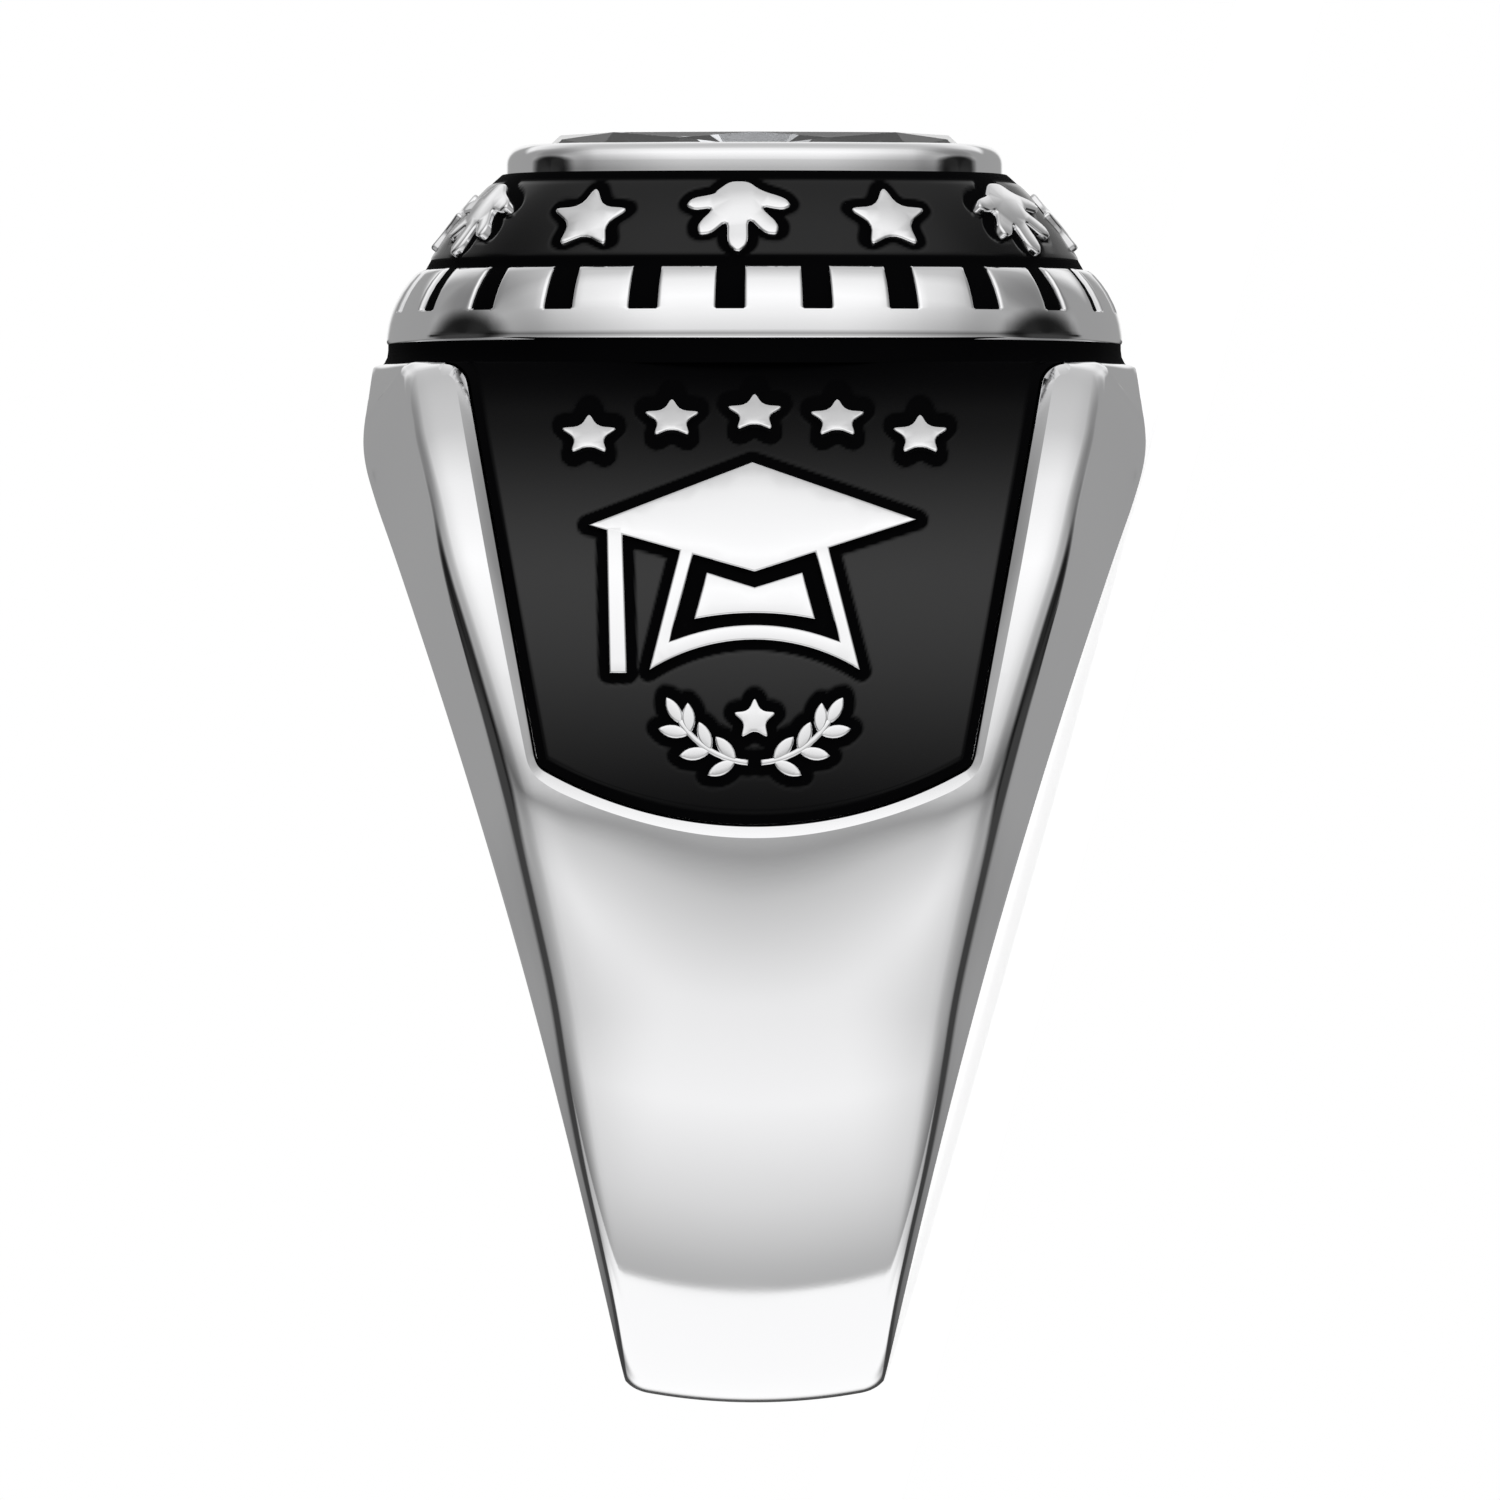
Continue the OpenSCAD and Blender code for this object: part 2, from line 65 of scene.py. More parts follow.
OUTER_UP = OUTER_R - PALM_Z
SHOULDER_C, SHOULDER_ROUND = np.array([5.1, 9.4]), 3.3
PALM_C, PALM_ROUND = np.array([2.175, -10.75]), 0.65
LEAN = math.radians(6)
FLANK_SAG = 0.4
# How far the outer face stays inside the flanks, and how far its edge is rolled, by height
BAND = [(-11.3, 0.09), (-10.6, 0.14), (-9.5, 0.2), (-6.5, 0.23), (-4.6, 0.34), (-2.5, 0.54),
        (1.7, 0.78), (6.9, 1.0), (8.7, 1.3), (9.5, 1.22), (10.4, 0.95), (11.1, 0.75)]
ROLL = [(-11, 0.3), (-10, 0.2), (-5, 0.34), (2, 0.4), (7, 0.28), (11, 0.2)]
BEVEL_SLOPE = 0.5
BAND_LEAST, WALL_LEAST = 0.03, 0.5
# The face is plain from where the ledge takes this much off it
PLAIN_FROM = 0.3
LEDGE_ROUND, BORE_ROUND = 0.16, 0.14
# Beside the panels the face rounds over rails, and between two heights it becomes a dome
RAIL_W, RAIL_R = 1.1, 3.0
RAILS_LOW, DOME_TOP, DOME_R = 2.0, -3.0, 13.0
# Between these heights the shoulder's round flows softly into the flank
SOFT_LOW, SOFT_FROM, SOFT_TO, SOFT_TOP = -10, -8, 8, 9.6
# A table's corners are rounded off over this much height to either side
EASE = 0.8
# The flank's tangent line, which the ring lies on, and where that puts the ring
between = SHOULDER_C - PALM_C
TILT = math.atan2(between[0], between[1]) + math.asin((SHOULDER_ROUND - PALM_ROUND) / math.hypot(*between))
FLANK_OUT = np.array([math.cos(TILT), -math.sin(TILT)])
REST_UP = float(SHOULDER_C @ FLANK_OUT + SHOULDER_ROUND)
PALM_REACH = PALM_ROUND - PALM_C[1] * math.cos(TILT) + PALM_C[0] * math.sin(TILT)
REST_ALONG = PALM_REACH + 1000 * cad_box[0].x

# From local millimetres to the ring's resting place in metres
LAID = 0.001 * Matrix([
    [0, math.sin(TILT), math.cos(TILT), REST_ALONG],
    [-1, 0, 0, 0],
    [0, -math.cos(TILT), math.sin(TILT), REST_UP],
    [0, 0, 0, 1000],
])


def arc(c, r, start, end, steps):
    """Points on an arc about c, between two angles in degrees."""
    turn = np.radians(np.linspace(start, end, steps + 1))
    return np.asarray(c) + r * np.stack([np.cos(turn), np.sin(turn)], axis=-1)


def bow_r(half, rise):
    """Radius of an arc from half its chord and its rise."""
    return (half ** 2 + rise ** 2) / (2 * rise)


def flank_profile():
    """Half widths along Y from the palm to the ledge, as [y, z] points."""
    tilt = math.degrees(TILT)
    touch_palm = PALM_C + PALM_ROUND * FLANK_OUT
    touch_shoulder = SHOULDER_C + SHOULDER_ROUND * FLANK_OUT
    half = np.linalg.norm(touch_shoulder - touch_palm) / 2
    r = bow_r(half, FLANK_SAG)
    centre = (touch_palm + touch_shoulder) / 2 + (r - FLANK_SAG) * FLANK_OUT
    turn = math.degrees(math.asin(half / r))
    lean_from = SHOULDER_C + SHOULDER_ROUND * np.array([math.cos(LEAN), math.sin(LEAN)])
    top = lean_from + (LEDGE_Z - lean_from[1]) * np.array([-math.tan(LEAN), 1])
    return np.concatenate([
        arc(PALM_C, PALM_ROUND, -90, -tilt, 12),
        arc(centre, r, 180 - tilt + turn, 180 - tilt - turn, 60)[1:-1],
        arc(SHOULDER_C, SHOULDER_ROUND, -tilt, math.degrees(LEAN), 24),
        arc(top - LEDGE_ROUND, LEDGE_ROUND, math.degrees(LEAN), 90, 6),
    ])


FLANK = flank_profile()


def smooth(low, high, v):
    """A soft step from 0 at low to 1 at high."""
    t = np.clip((v - low) / (high - low), 0, 1)
    return t * t * (3 - 2 * t)


def eased(table, z):
    """A value between a table's rows, with the corners at the rows rounded off."""
    rows = np.array(table)
    nearby = np.linspace(-EASE, EASE, 17)
    return np.mean([np.interp(z + d, rows[:, 0], rows[:, 1]) for d in nearby], axis=0)


def flank_y(z):
    """Half width along Y, with the flank flowing softly into the shoulder's round."""
    soft = smooth(SOFT_LOW, SOFT_FROM, z) * smooth(SOFT_TOP, SOFT_TO, z)
    return (1 - soft) * np.interp(z, FLANK[:, 1], FLANK[:, 0]) + soft * eased(FLANK[:, ::-1], z)


def face_y(z):
    """Half width of the outer face."""
    return flank_y(z) - eased(BAND, z)


def barrel_radius(turn):
    """Distance from the hole's centre to the outer face, by the angle from the crown."""
    return OUTER_UP * np.cos(turn) + np.sqrt(OUTER_R ** 2 - (OUTER_UP * np.sin(turn)) ** 2)


def rim_radius(turn):
    """The same to the nearer of the outer face and the crown's ledge, softly joined."""
    ledge = LEDGE_Z / np.maximum(np.cos(turn), 0.1)
    sharpness, about = 14.0, 12.0
    both = sum(np.exp(sharpness * (about - r)) for r in (barrel_radius(turn), ledge))
    return about - np.log(both) / sharpness


def outer_drop(y, z):
    """How far the outer face falls away sideways: a dome below the panels, and round rails."""
    rail = np.maximum(np.abs(y) - face_y(z) + RAIL_W, 0)
    low = smooth(RAILS_LOW, DOME_TOP, z)
    return low * y ** 2 / (2 * DOME_R) + (1 - low) * rail ** 2 / (2 * RAIL_R)


def make_mesh(name, points, faces, place=LAID):
    """A closed piece from points in local millimetres, with its faces turned outwards."""
    mesh = bpy.data.meshes.new(name)
    mesh.from_pydata(np.asarray(points).tolist(), [], faces)
    work = bmesh.new()
    work.from_mesh(mesh)
    bmesh.ops.remove_doubles(work, verts=work.verts, dist=1e-4)
    bmesh.ops.recalc_face_normals(work, faces=work.faces)
    work.to_mesh(mesh)
    work.free()
    mesh.transform(place)
    piece = bpy.data.objects.new(name, mesh)
    bpy.context.scene.collection.objects.link(piece)
    return piece


def grid_faces(rows, columns, wrap_rows=False, wrap_columns=False):
    """Faces between neighbouring rows of points, closed round where they wrap."""
    faces = []
    for i in range(rows if wrap_rows else rows - 1):
        for j in range(columns if wrap_columns else columns - 1):
            k, m = (i + 1) % rows, (j + 1) % columns
            faces.append((i * columns + j, i * columns + m, k * columns + m, k * columns + j))
    return faces


def applied(piece):
    """Turns the piece's modifiers into plain mesh."""
    bpy.context.view_layer.update()
    graph = bpy.context.evaluated_depsgraph_get()
    done = bpy.data.meshes.new_from_object(piece.evaluated_get(graph))
    piece.modifiers.clear()
    piece.data = done
    done.name = piece.name


def finish_edges(piece, sharp_over=40):
    """Smooth shading that keeps the large faces true and lets narrow edges round off."""
    piece.data.shade_smooth()
    piece.data.set_sharp_from_angle(angle=math.radians(sharp_over))
    weigh = piece.modifiers.new("weigh", "WEIGHTED_NORMAL")
    weigh.keep_sharp = True
    applied(piece)


def shank_mesh():
    """The band as a closed tube: rings about the finger hole, each a step along its section."""
    turn = np.radians(np.arange(720) * 0.5)
    outer = rim_radius(turn)

    def ring(r, y):
        return np.stack([r * np.sin(turn), y + 0 * r, r * np.cos(turn)], axis=-1)

    edge_z = outer * np.cos(turn)
    cut_off = barrel_radius(turn) - outer
    band = np.maximum(eased(BAND, edge_z) - BEVEL_SLOPE * cut_off, BAND_LEAST)

    def top(y):
        """Distance out to the face, which is plain where the ledge cuts it off."""
        return outer - outer_drop(y, edge_z) * np.clip(1 - cut_off / PLAIN_FROM, 0, 1)

    # The corner's distance and half width depend on each other, so they are found by turns
    corner_r = outer
    for _ in range(4):
        corner_y = flank_y(corner_r * np.cos(turn)) - band
        corner_r = top(corner_y)
    crease_r = np.maximum(corner_r - band / BEVEL_SLOPE, HOLE_R + WALL_LEAST)

    # The bore's rounded edge and the flank up to the bevel's crease
    rings = []
    for a in np.radians((0, 30, 60, 90)):
        r = HOLE_R + BORE_ROUND * (1 - np.cos(a)) + 0 * turn
        rings.append(ring(r, flank_y(r * np.cos(turn)) - BORE_ROUND * (1 - math.sin(a))))
    for t in (0.3, 0.6, 0.9, 0.97):
        r = HOLE_R + BORE_ROUND + t * (crease_r - HOLE_R - BORE_ROUND)
        rings.append(ring(r, flank_y(r * np.cos(turn))))

    # The bevel, whose outer edge is rolled over into the face
    crease = ring(crease_r, flank_y(crease_r * np.cos(turn)))
    corner = ring(corner_r, corner_y)
    roll = eased(ROLL, edge_z)
    length = np.linalg.norm(corner - crease, axis=1)
    start = corner + (crease - corner) * np.minimum(roll / length, 0.8)[:, None]
    inward = corner_y - roll
    end = ring(top(inward), inward)
    for t in (0.03, 0.1, 0.5):
        rings.append(crease + t * (start - crease))
    for t in np.linspace(0, 1, 11):
        rings.append((1 - t) ** 2 * start + 2 * t * (1 - t) * corner + t ** 2 * end)

    # The other side mirrors this one, and the face and the bore join them
    side = np.array(rings)
    face = [ring(top(t * inward), t * inward) for t in np.linspace(1, -1, 61)[1:-1]]
    bore = [ring(HOLE_R + 0 * turn, t * side[0, :, 1]) for t in np.linspace(-1, 1, 9)[1:-1]]
    loop = np.concatenate([side, face, side[::-1] * np.array([1, -1, 1]), bore])
    return make_mesh("shank", loop.reshape(-1, 3), grid_faces(len(loop), len(turn), True, True))


def linear(code):
    """An sRGB hex colour as linear values."""
    parts = [int(code[i:i + 2], 16) / 255 for i in (1, 3, 5)]
    return [p / 12.92 if p <= 0.04045 else ((p + 0.055) / 1.055) ** 2.4 for p in parts] + [1.0]


def add(tree, kind, sockets=(), **settings):
    """Adds a node with its settings. Each socket gets a value, or a link from a node."""
    node = tree.nodes.new(kind)
    for name, value in settings.items():
        setattr(node, name, value)
    for socket, given in dict(sockets).items():
        if isinstance(given, bpy.types.Node):
            given = given.outputs[0]
        if isinstance(given, bpy.types.NodeSocket):
            tree.links.new(given, node.inputs[socket])
        else:
            node.inputs[socket].default_value = given
    return node


def new_material(name):
    """A material with an empty node tree, and the place on the piece in its own metres."""
    material = bpy.data.materials.new(name)
    material.use_nodes = True
    material.node_tree.nodes.clear()
    place = add(material.node_tree, "ShaderNodeTexCoord")
    return material, material.node_tree, place.outputs["Object"]


# Turns spots to a millimetre into a pattern's scale
PER_MM = 1000


def silver_material():
    """Sterling silver, cast and buffed to a bright mirror.

    The buff leaves a slow waviness, and wear leaves faint hairlines over it."""
    silver, tree, place = new_material("sterling_silver_polished")
    buffed = add(tree, "ShaderNodeTexNoise", {"Vector": place, "Scale": 0.4 * PER_MM})
    worn = add(tree, "ShaderNodeTexNoise", {"Vector": place, "Scale": 9 * PER_MM, "Detail": 3.0})
    gloss = add(tree, "ShaderNodeMapRange", {
        "Value": buffed, "From Min": 0.3, "From Max": 0.7, "To Min": 0.06, "To Max": 0.1})
    waves = add(tree, "ShaderNodeBump", {"Height": buffed, "Strength": 0.03, "Distance": 0.0001})
    lines = add(tree, "ShaderNodeBump", {
        "Height": worn, "Normal": waves, "Strength": 0.03, "Distance": 0.00001})
    metal = add(tree, "ShaderNodeBsdfPrincipled", {
        "Base Color": linear("#f4f4f5"), "Metallic": 1.0, "Roughness": gloss, "Normal": lines})
    add(tree, "ShaderNodeOutputMaterial", {"Surface": metal})
    return silver


SILVER = silver_material()


def as_silver(piece):
    """Makes a piece part of the silver casting."""
    piece.data.materials.clear()
    piece.data.materials.append(SILVER)
    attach(piece, "root")
    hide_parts("ring_body")


shank = shank_mesh()

# Shoulder panels
# Each shoulder has a sunk panel, cast with a bevelled border. The border catches the
# light as a thin white line between the rail and the black floor.
PANEL_TOP, PANEL_LOW = 6.2, 4.6
PANEL_CORNER_Z, PANEL_BOW = 2.45, 1.26
PANEL_DEPTH = 0.5
FLARE_R = 0.45
CORNER_CUT = 0.5
# The border's section from the wall outwards, as (growth, depth below the outer face)
BORDER = [(0, 0.2), (0.02, 0.165), (0.06, 0.13), (0.32, -0.02), (0.34, -0.5)]
PANEL_LEAN = (PANEL_TOP - PANEL_LOW) / (LEDGE_Z - PANEL_CORNER_Z)


def bow(half, z, rise, steps=24):
    """A level arc from [-half, z] to [half, z], whose middle is higher by rise."""
    r = bow_r(half, rise)
    turn = np.linspace(-math.asin(half / r), math.asin(half / r), steps + 1)
    return np.stack([r * np.sin(turn), z + rise - r + r * np.cos(turn)], axis=-1)


def panel_half(z):
    """Half a panel's width, which flares round the rails' ends at the top."""
    flare = FLARE_R - np.sqrt(FLARE_R ** 2 - np.clip(z - LEDGE_Z + FLARE_R, 0, FLARE_R) ** 2)
    return PANEL_LOW + np.maximum(z - PANEL_CORNER_Z, 0) * PANEL_LEAN + flare


def panel_outline(top):
    """A panel seen flat, with its open end carried up to a height past the ledge."""
    flare = LEDGE_Z - FLARE_R * (1 - np.sin(np.radians(np.linspace(0, 90, 8))))
    z = np.append(flare, top)
    right = np.stack([panel_half(z), z], axis=-1)
    low_end = bow(PANEL_LOW, PANEL_CORNER_Z, -PANEL_BOW)
    return np.concatenate([low_end, right, right[::-1] * np.array([-1, 1])])


def grown(p, g):
    """An outline, counter-clockwise, made larger all round."""
    to_next = np.roll(p, -1, axis=0) - p
    to_next /= np.linalg.norm(to_next, axis=1)[:, None]
    out = np.stack([to_next[:, 1], -to_next[:, 0]], axis=-1)
    before = np.roll(out, 1, axis=0)
    return p + (before + out) * g / (1 + np.sum(before * out, axis=1))[:, None]


def filled(p, step):
    """Adds points along an outline's edges, at most a step apart."""
    out = []
    for a, b in zip(p, np.roll(p, -1, axis=0)):
        parts = max(1, math.ceil(np.linalg.norm(b - a) / step))
        out += [a + (b - a) * i / parts for i in range(parts)]
    return np.array(out)


def on_barrel(flat, depth):
    """Where a flat [y, z] place is on the shank, at a depth below its outer face."""
    y, z = flat[..., 0], flat[..., 1]
    r = OUTER_R - depth
    return np.stack([np.sqrt(np.maximum(r ** 2 - (z - OUTER_UP) ** 2, 0.01)), y, z], axis=-1)


def softened(p, times=2, share=0.2):
    """Cuts an outline's corners off, a few times over."""
    for _ in range(times):
        after = np.roll(p, -1, axis=0)
        p = np.stack([p + share * (after - p), after - share * (after - p)], axis=1).reshape(-1, 2)
    return p


def counter_clockwise(p):
    """An outline's points, turned about if they run clockwise."""
    after = np.roll(p, -1, axis=0)
    return p if np.sum(p[:, 0] * after[:, 1] - after[:, 0] * p[:, 1]) > 0 else p[::-1]


def edge_distance(p, outlines, reach=0.6):
    """Distance from flat places to some outlines' edges, or much more where none is near."""
    near = np.full(len(p), 9.0)
    for outline in outlines:
        low, high = outline.min(axis=0) - reach, outline.max(axis=0) + reach
        close = np.all((p > low) & (p < high), axis=1)
        ab = np.roll(outline, -1, axis=0) - outline
        from_a = p[close][:, None] - outline
        t = np.clip(np.sum(from_a * ab, axis=2) / np.sum(ab * ab, axis=1), 0, 1)
        d = np.linalg.norm(from_a - t[..., None] * ab, axis=2).min(axis=1) if close.any() else []
        near[close] = np.minimum(near[close], d)
    return near


def cover(outline, place, depth, dome, step):
    """Triangles over a flat outline, with points inside it to follow a curve.

    They swell by the dome's height within a few tenths of a millimetre from the edge."""
    low, high = outline.min(axis=0), outline.max(axis=0)
    across, up = (np.arange(low[k], high[k], step) for k in (0, 1))
    off_edges = 0.013
    inner = np.stack(np.meshgrid(across, up), axis=-1).reshape(-1, 2) + off_edges
    inner = inner[edge_distance(inner, [outline]) > 0.3 * step]
    flat = [Vector(q) for q in np.concatenate([outline, inner])]
    inside_only, nearest = 1, 1e-6
    flat, _, faces, _, _, _ = delaunay_2d_cdt(flat, [], [list(range(len(outline)))], inside_only, nearest)
    used, faces = np.unique(np.array(faces), return_inverse=True)
    flat = np.array([tuple(q) for q in flat])[used]
    swell_within = 0.15
    rise = dome * (1 - np.exp(-edge_distance(flat, [outline]) / swell_within))
    return place(flat, depth - rise), faces.reshape(-1, 3).tolist()


def slab(outline, place, loops, step=0.28, dome=0.0):
    """A closed form over a flat outline, as points and faces.

    Its walls go through loops of (growth, depth), from the bottom up."""
    outline = filled(counter_clockwise(outline), step)
    n = len(outline)
    points = [place(grown(outline, g), np.full(n, float(d))) for g, d in loops]
    faces = grid_faces(len(loops), n, wrap_columns=True)
    start = len(loops) * n
    for (g, d), swell in ((loops[0], 0), (loops[-1], dome)):
        flat, over = cover(grown(outline, g), place, d, swell, step)
        points.append(flat)
        faces += [tuple(start + i for i in f) for f in over]
        start += len(flat)
    return np.concatenate(points), faces


def together(forms):
    """Several forms as the points and faces of one."""
    points, faces, start = [], [], 0
    for p, f in forms:
        points.append(p)
        faces += [tuple(start + i for i in face) for face in f]
        start += len(p)
    return np.concatenate(points), faces


def cut(piece, tool):
    """Takes a tool's shape out of a piece, and the tool away."""
    step = piece.modifiers.new("cut", "BOOLEAN")
    step.operation = "DIFFERENCE"
    step.solver = "MANIFOLD"
    step.object = tool
    applied(piece)
    bpy.data.objects.remove(tool)


def half_turn(p, side):
    """Places as they are on the right shoulder, side 1, or turned round to the left, -1."""
    return p * np.array([side, side, 1])


PAST_LEDGE = 0.6
opening = softened(filled(panel_outline(LEDGE_Z + PAST_LEDGE), CORNER_CUT), times=3, share=0.25)
for side in (1, -1):
    cut(shank, make_mesh("pocket", *slab(
        opening, lambda flat, depth: half_turn(on_barrel(flat, depth), side),
        [(0, PANEL_DEPTH)] + BORDER)))
finish_edges(shank, 20)
as_silver(shank)

# Crown
# The crown is part of the same silver casting: a neck groove, a flared skirt whose upper
# edge is cut into teeth, the sunk field behind the ornaments, and the smooth bezel rim.
CROWN_W, CROWN_L = 14.0, 16.0
SIDE_R, END_R, CORNER_R = 12.8, 9.7, 5.3
ROOT_IN, ROOT_Z = 1.35, 10.5
GROOVE_IN, GROOVE_Z = 0.45, 11.02
SKIRT_Z, TOOTH_Z, SLOT_Z = 11.56, 13.19, 12.26
SKIRT_LEAN, FIELD_LEAN, FIELD_BULGE = 0.72, 1.66, 0.12
FIELD_Z, RIM_TOP = 15.26, 15.89
FIELD_DEPTH = 0.35
SLOTS, SLOT_W, SLOT_START = 25, 0.6, -0.52
RIM_IN, LIP_IN, SEAT_IN, RIM_ROUND = 2.61, 3.41, 3.91, 0.4
LIP_ROUND, SEAT_Z, POCKET_Z = 0.07, 15.3, 12.7
SKIRT_R = bow_r(TOOTH_Z - SKIRT_Z, SKIRT_LEAN)


def cushion_arcs():
    """The cushion outline's arcs from the middle of a side on.

    Each is its centre x and y, its radius and the angles where it starts and ends."""
    side_c, end_c = CROWN_W / 2 - SIDE_R, CROWN_L / 2 - END_R
    from_side, from_end = SIDE_R - CORNER_R, END_R - CORNER_R
    apart = math.hypot(side_c, end_c)
    along = (from_side ** 2 - from_end ** 2 + apart ** 2) / (2 * apart)
    beside = math.sqrt(from_side ** 2 - along ** 2)
    toward = np.array([-side_c, end_c]) / apart
    corner = np.array([side_c, 0]) + along * toward + beside * np.array([-toward[1], toward[0]])
    a = math.atan2(corner[1], corner[0] - side_c)
    b = math.atan2(corner[1] - end_c, corner[0])
    pi = math.pi
    return np.array([
        [side_c, 0, SIDE_R, 0, a],
        [corner[0], corner[1], CORNER_R, a, b],
        [0, end_c, END_R, b, pi - b],
        [-corner[0], corner[1], CORNER_R, pi - b, pi - a],
        [-side_c, 0, SIDE_R, pi - a, pi + a],
        [-corner[0], -corner[1], CORNER_R, pi + a, pi + b],
        [0, -end_c, END_R, pi + b, 2 * pi - b],
        [corner[0], -corner[1], CORNER_R, 2 * pi - b, 2 * pi - a],
        [side_c, 0, SIDE_R, 2 * pi - a, 2 * pi],
    ])


ARCS = cushion_arcs()


def round_length(inset):
    """Length round the outline moved in by an inset."""
    return float(np.sum((ARCS[:, 2] - inset) * (ARCS[:, 4] - ARCS[:, 3])))


def uprights(s, inset):
    """Lines square to the outline at lengths s along it: centre x, y, radius, angle."""
    ends = np.cumsum((ARCS[:, 2] - inset) * (ARCS[:, 4] - ARCS[:, 3]))
    s = np.mod(s, ends[-1])
    i = np.minimum(np.searchsorted(ends, s), len(ARCS) - 1)
    starts = ends - (ARCS[:, 2] - inset) * (ARCS[:, 4] - ARCS[:, 3])
    return ARCS[i, 0], ARCS[i, 1], ARCS[i, 2], ARCS[i, 3] + (s - starts[i]) / (ARCS[i, 2] - inset)


def on_upright(lines, inset, z):
    """Places on upright lines, moved in from the outline by an inset, at a height."""
    x, y, r, turn = lines
    inset, z = np.broadcast_arrays(inset, z)
    out = r - inset
    return np.stack([x + out * np.cos(turn), y + out * np.sin(turn), z + 0 * turn], axis=-1)


FIELD_SLOPE = math.atan2(FIELD_LEAN, FIELD_Z - TOOTH_Z)


def field_profile():
    """The bulged field from its foot up, as [inset, z] points."""
    half = np.array([FIELD_LEAN, FIELD_Z - TOOTH_Z]) / 2
    r = bow_r(np.linalg.norm(half), FIELD_BULGE)
    span = math.asin(np.linalg.norm(half) / r)
    inward = np.array([math.cos(FIELD_SLOPE), -math.sin(FIELD_SLOPE)])
    centre = np.array([SKIRT_LEAN, TOOTH_Z]) + half + (r - FIELD_BULGE) * inward
    turn = FIELD_SLOPE + np.linspace(-span, span, 33)
    return centre + r * np.stack([-np.cos(turn), np.sin(turn)], axis=-1)


FIELD = field_profile()


def skin(z):
    """Inset of the crown's outer skin at a height."""
    up_skirt = np.maximum(z - SKIRT_Z, 0)
    skirt = SKIRT_R - np.sqrt(np.maximum(SKIRT_R ** 2 - up_skirt ** 2, 0))
    return np.where(z < TOOTH_Z, skirt, np.interp(z, FIELD[:, 1], FIELD[:, 0]))


def lofted(name, loops):
    """A closed form through loops of equally many points, capped at both ends."""
    n = len(loops[0])
    faces = grid_faces(len(loops), n, wrap_columns=True)
    faces.append(tuple(range(n)))
    faces.append(tuple((len(loops) - 1) * n + i for i in range(n))[::-1])
    return make_mesh(name, np.concatenate(loops), faces)


def crown_uprights():
    """Lines close together at the slots' walls, with how deep a slot is at each of them."""
    across = SLOT_W / 2 + np.array([-0.3, -0.15, -0.05, -0.015, 0, 0.02, 0.05, 0.1])
    deep = np.array([1, 1, 1, 0.98, 0.22, 0.07, 0.015, 0])
    pitch = round_length(FIELD_DEPTH) / SLOTS
    rest = np.linspace(across[-1], pitch / 2, 5)[1:]
    half = np.concatenate([across, rest])
    half_deep = np.concatenate([deep, 0 * rest])
    offset = np.concatenate([-half[:0:-1], half[:-1]])
    offset_deep = np.concatenate([half_deep[:0:-1], half_deep[:-1]])
    s = (SLOT_START + pitch * np.arange(SLOTS)[:, None] + offset).ravel()
    return uprights(s, FIELD_DEPTH), np.tile(offset_deep, SLOTS)


def crown_mesh():
    """Rings from the root under the ledge up the skin, over the rim and down to the pocket."""
    lines, slot = crown_uprights()

    def plain(rows):
        return [on_upright(lines, np.full_like(slot, inset), z) for inset, z in rows]

    def slotted(rows):
        return [on_upright(lines, skin(z) + FIELD_DEPTH * np.maximum(share, slot), z) for z, share in rows]

    rings = plain([
        (ROOT_IN, ROOT_Z), (ROOT_IN, GROOVE_Z - 0.02), (GROOVE_IN, GROOVE_Z),
        (GROOVE_IN, SKIRT_Z - 0.05), (GROOVE_IN - 0.04, SKIRT_Z - 0.01),
        (0.16, SKIRT_Z), (0.07, SKIRT_Z + 0.005), (0.025, SKIRT_Z + 0.03)])
    for z in (*(SKIRT_Z + np.array([0.09, 0.24, 0.44, 0.58])), SLOT_Z - 0.05, SLOT_Z - 0.02):
        rings.append(on_upright(lines, skin(z) + 0 * slot, z))
    # The slots' floors, whose foot is rounded
    for up, share in ((0, 0.2), (0.012, 0.9), (0.05, 1), (0.19, 1), (0.44, 1), (0.64, 1), (0.81, 1)):
        z = SLOT_Z + up
        rings.append(on_upright(lines, skin(z) + FIELD_DEPTH * share * slot, z))
    # The teeth's rounded tops and the field behind them
    rings += slotted([(TOOTH_Z - 0.06, 0.03), (TOOTH_Z - 0.025, 0.1), (TOOTH_Z - 0.006, 0.24),
                      (TOOTH_Z, 0.45), (TOOTH_Z, 1)])
    rings += slotted([(z, 1) for z in np.linspace(TOOTH_Z + 0.1, FIELD_Z, 10)])
    wall = RIM_TOP - RIM_ROUND
    rim = [(RIM_IN, FIELD_Z + 0.001), (RIM_IN, FIELD_Z + 0.06), (RIM_IN, wall)]
    rim += [(RIM_IN + RIM_ROUND * (1 - math.cos(a)), wall + RIM_ROUND * math.sin(a))
            for a in np.radians((12, 25, 38, 51, 64, 77, 90))]
    rim += [(LIP_IN - 0.2, RIM_TOP), (LIP_IN - LIP_ROUND, RIM_TOP), (LIP_IN - 0.02, RIM_TOP - 0.02),
            (LIP_IN, RIM_TOP - LIP_ROUND), (LIP_IN, SEAT_Z + 0.02), (SEAT_IN, SEAT_Z),
            (SEAT_IN, POCKET_Z)]
    return lofted("crown", rings + plain(rim))


crown = crown_mesh()
finish_edges(crown)
as_silver(crown)

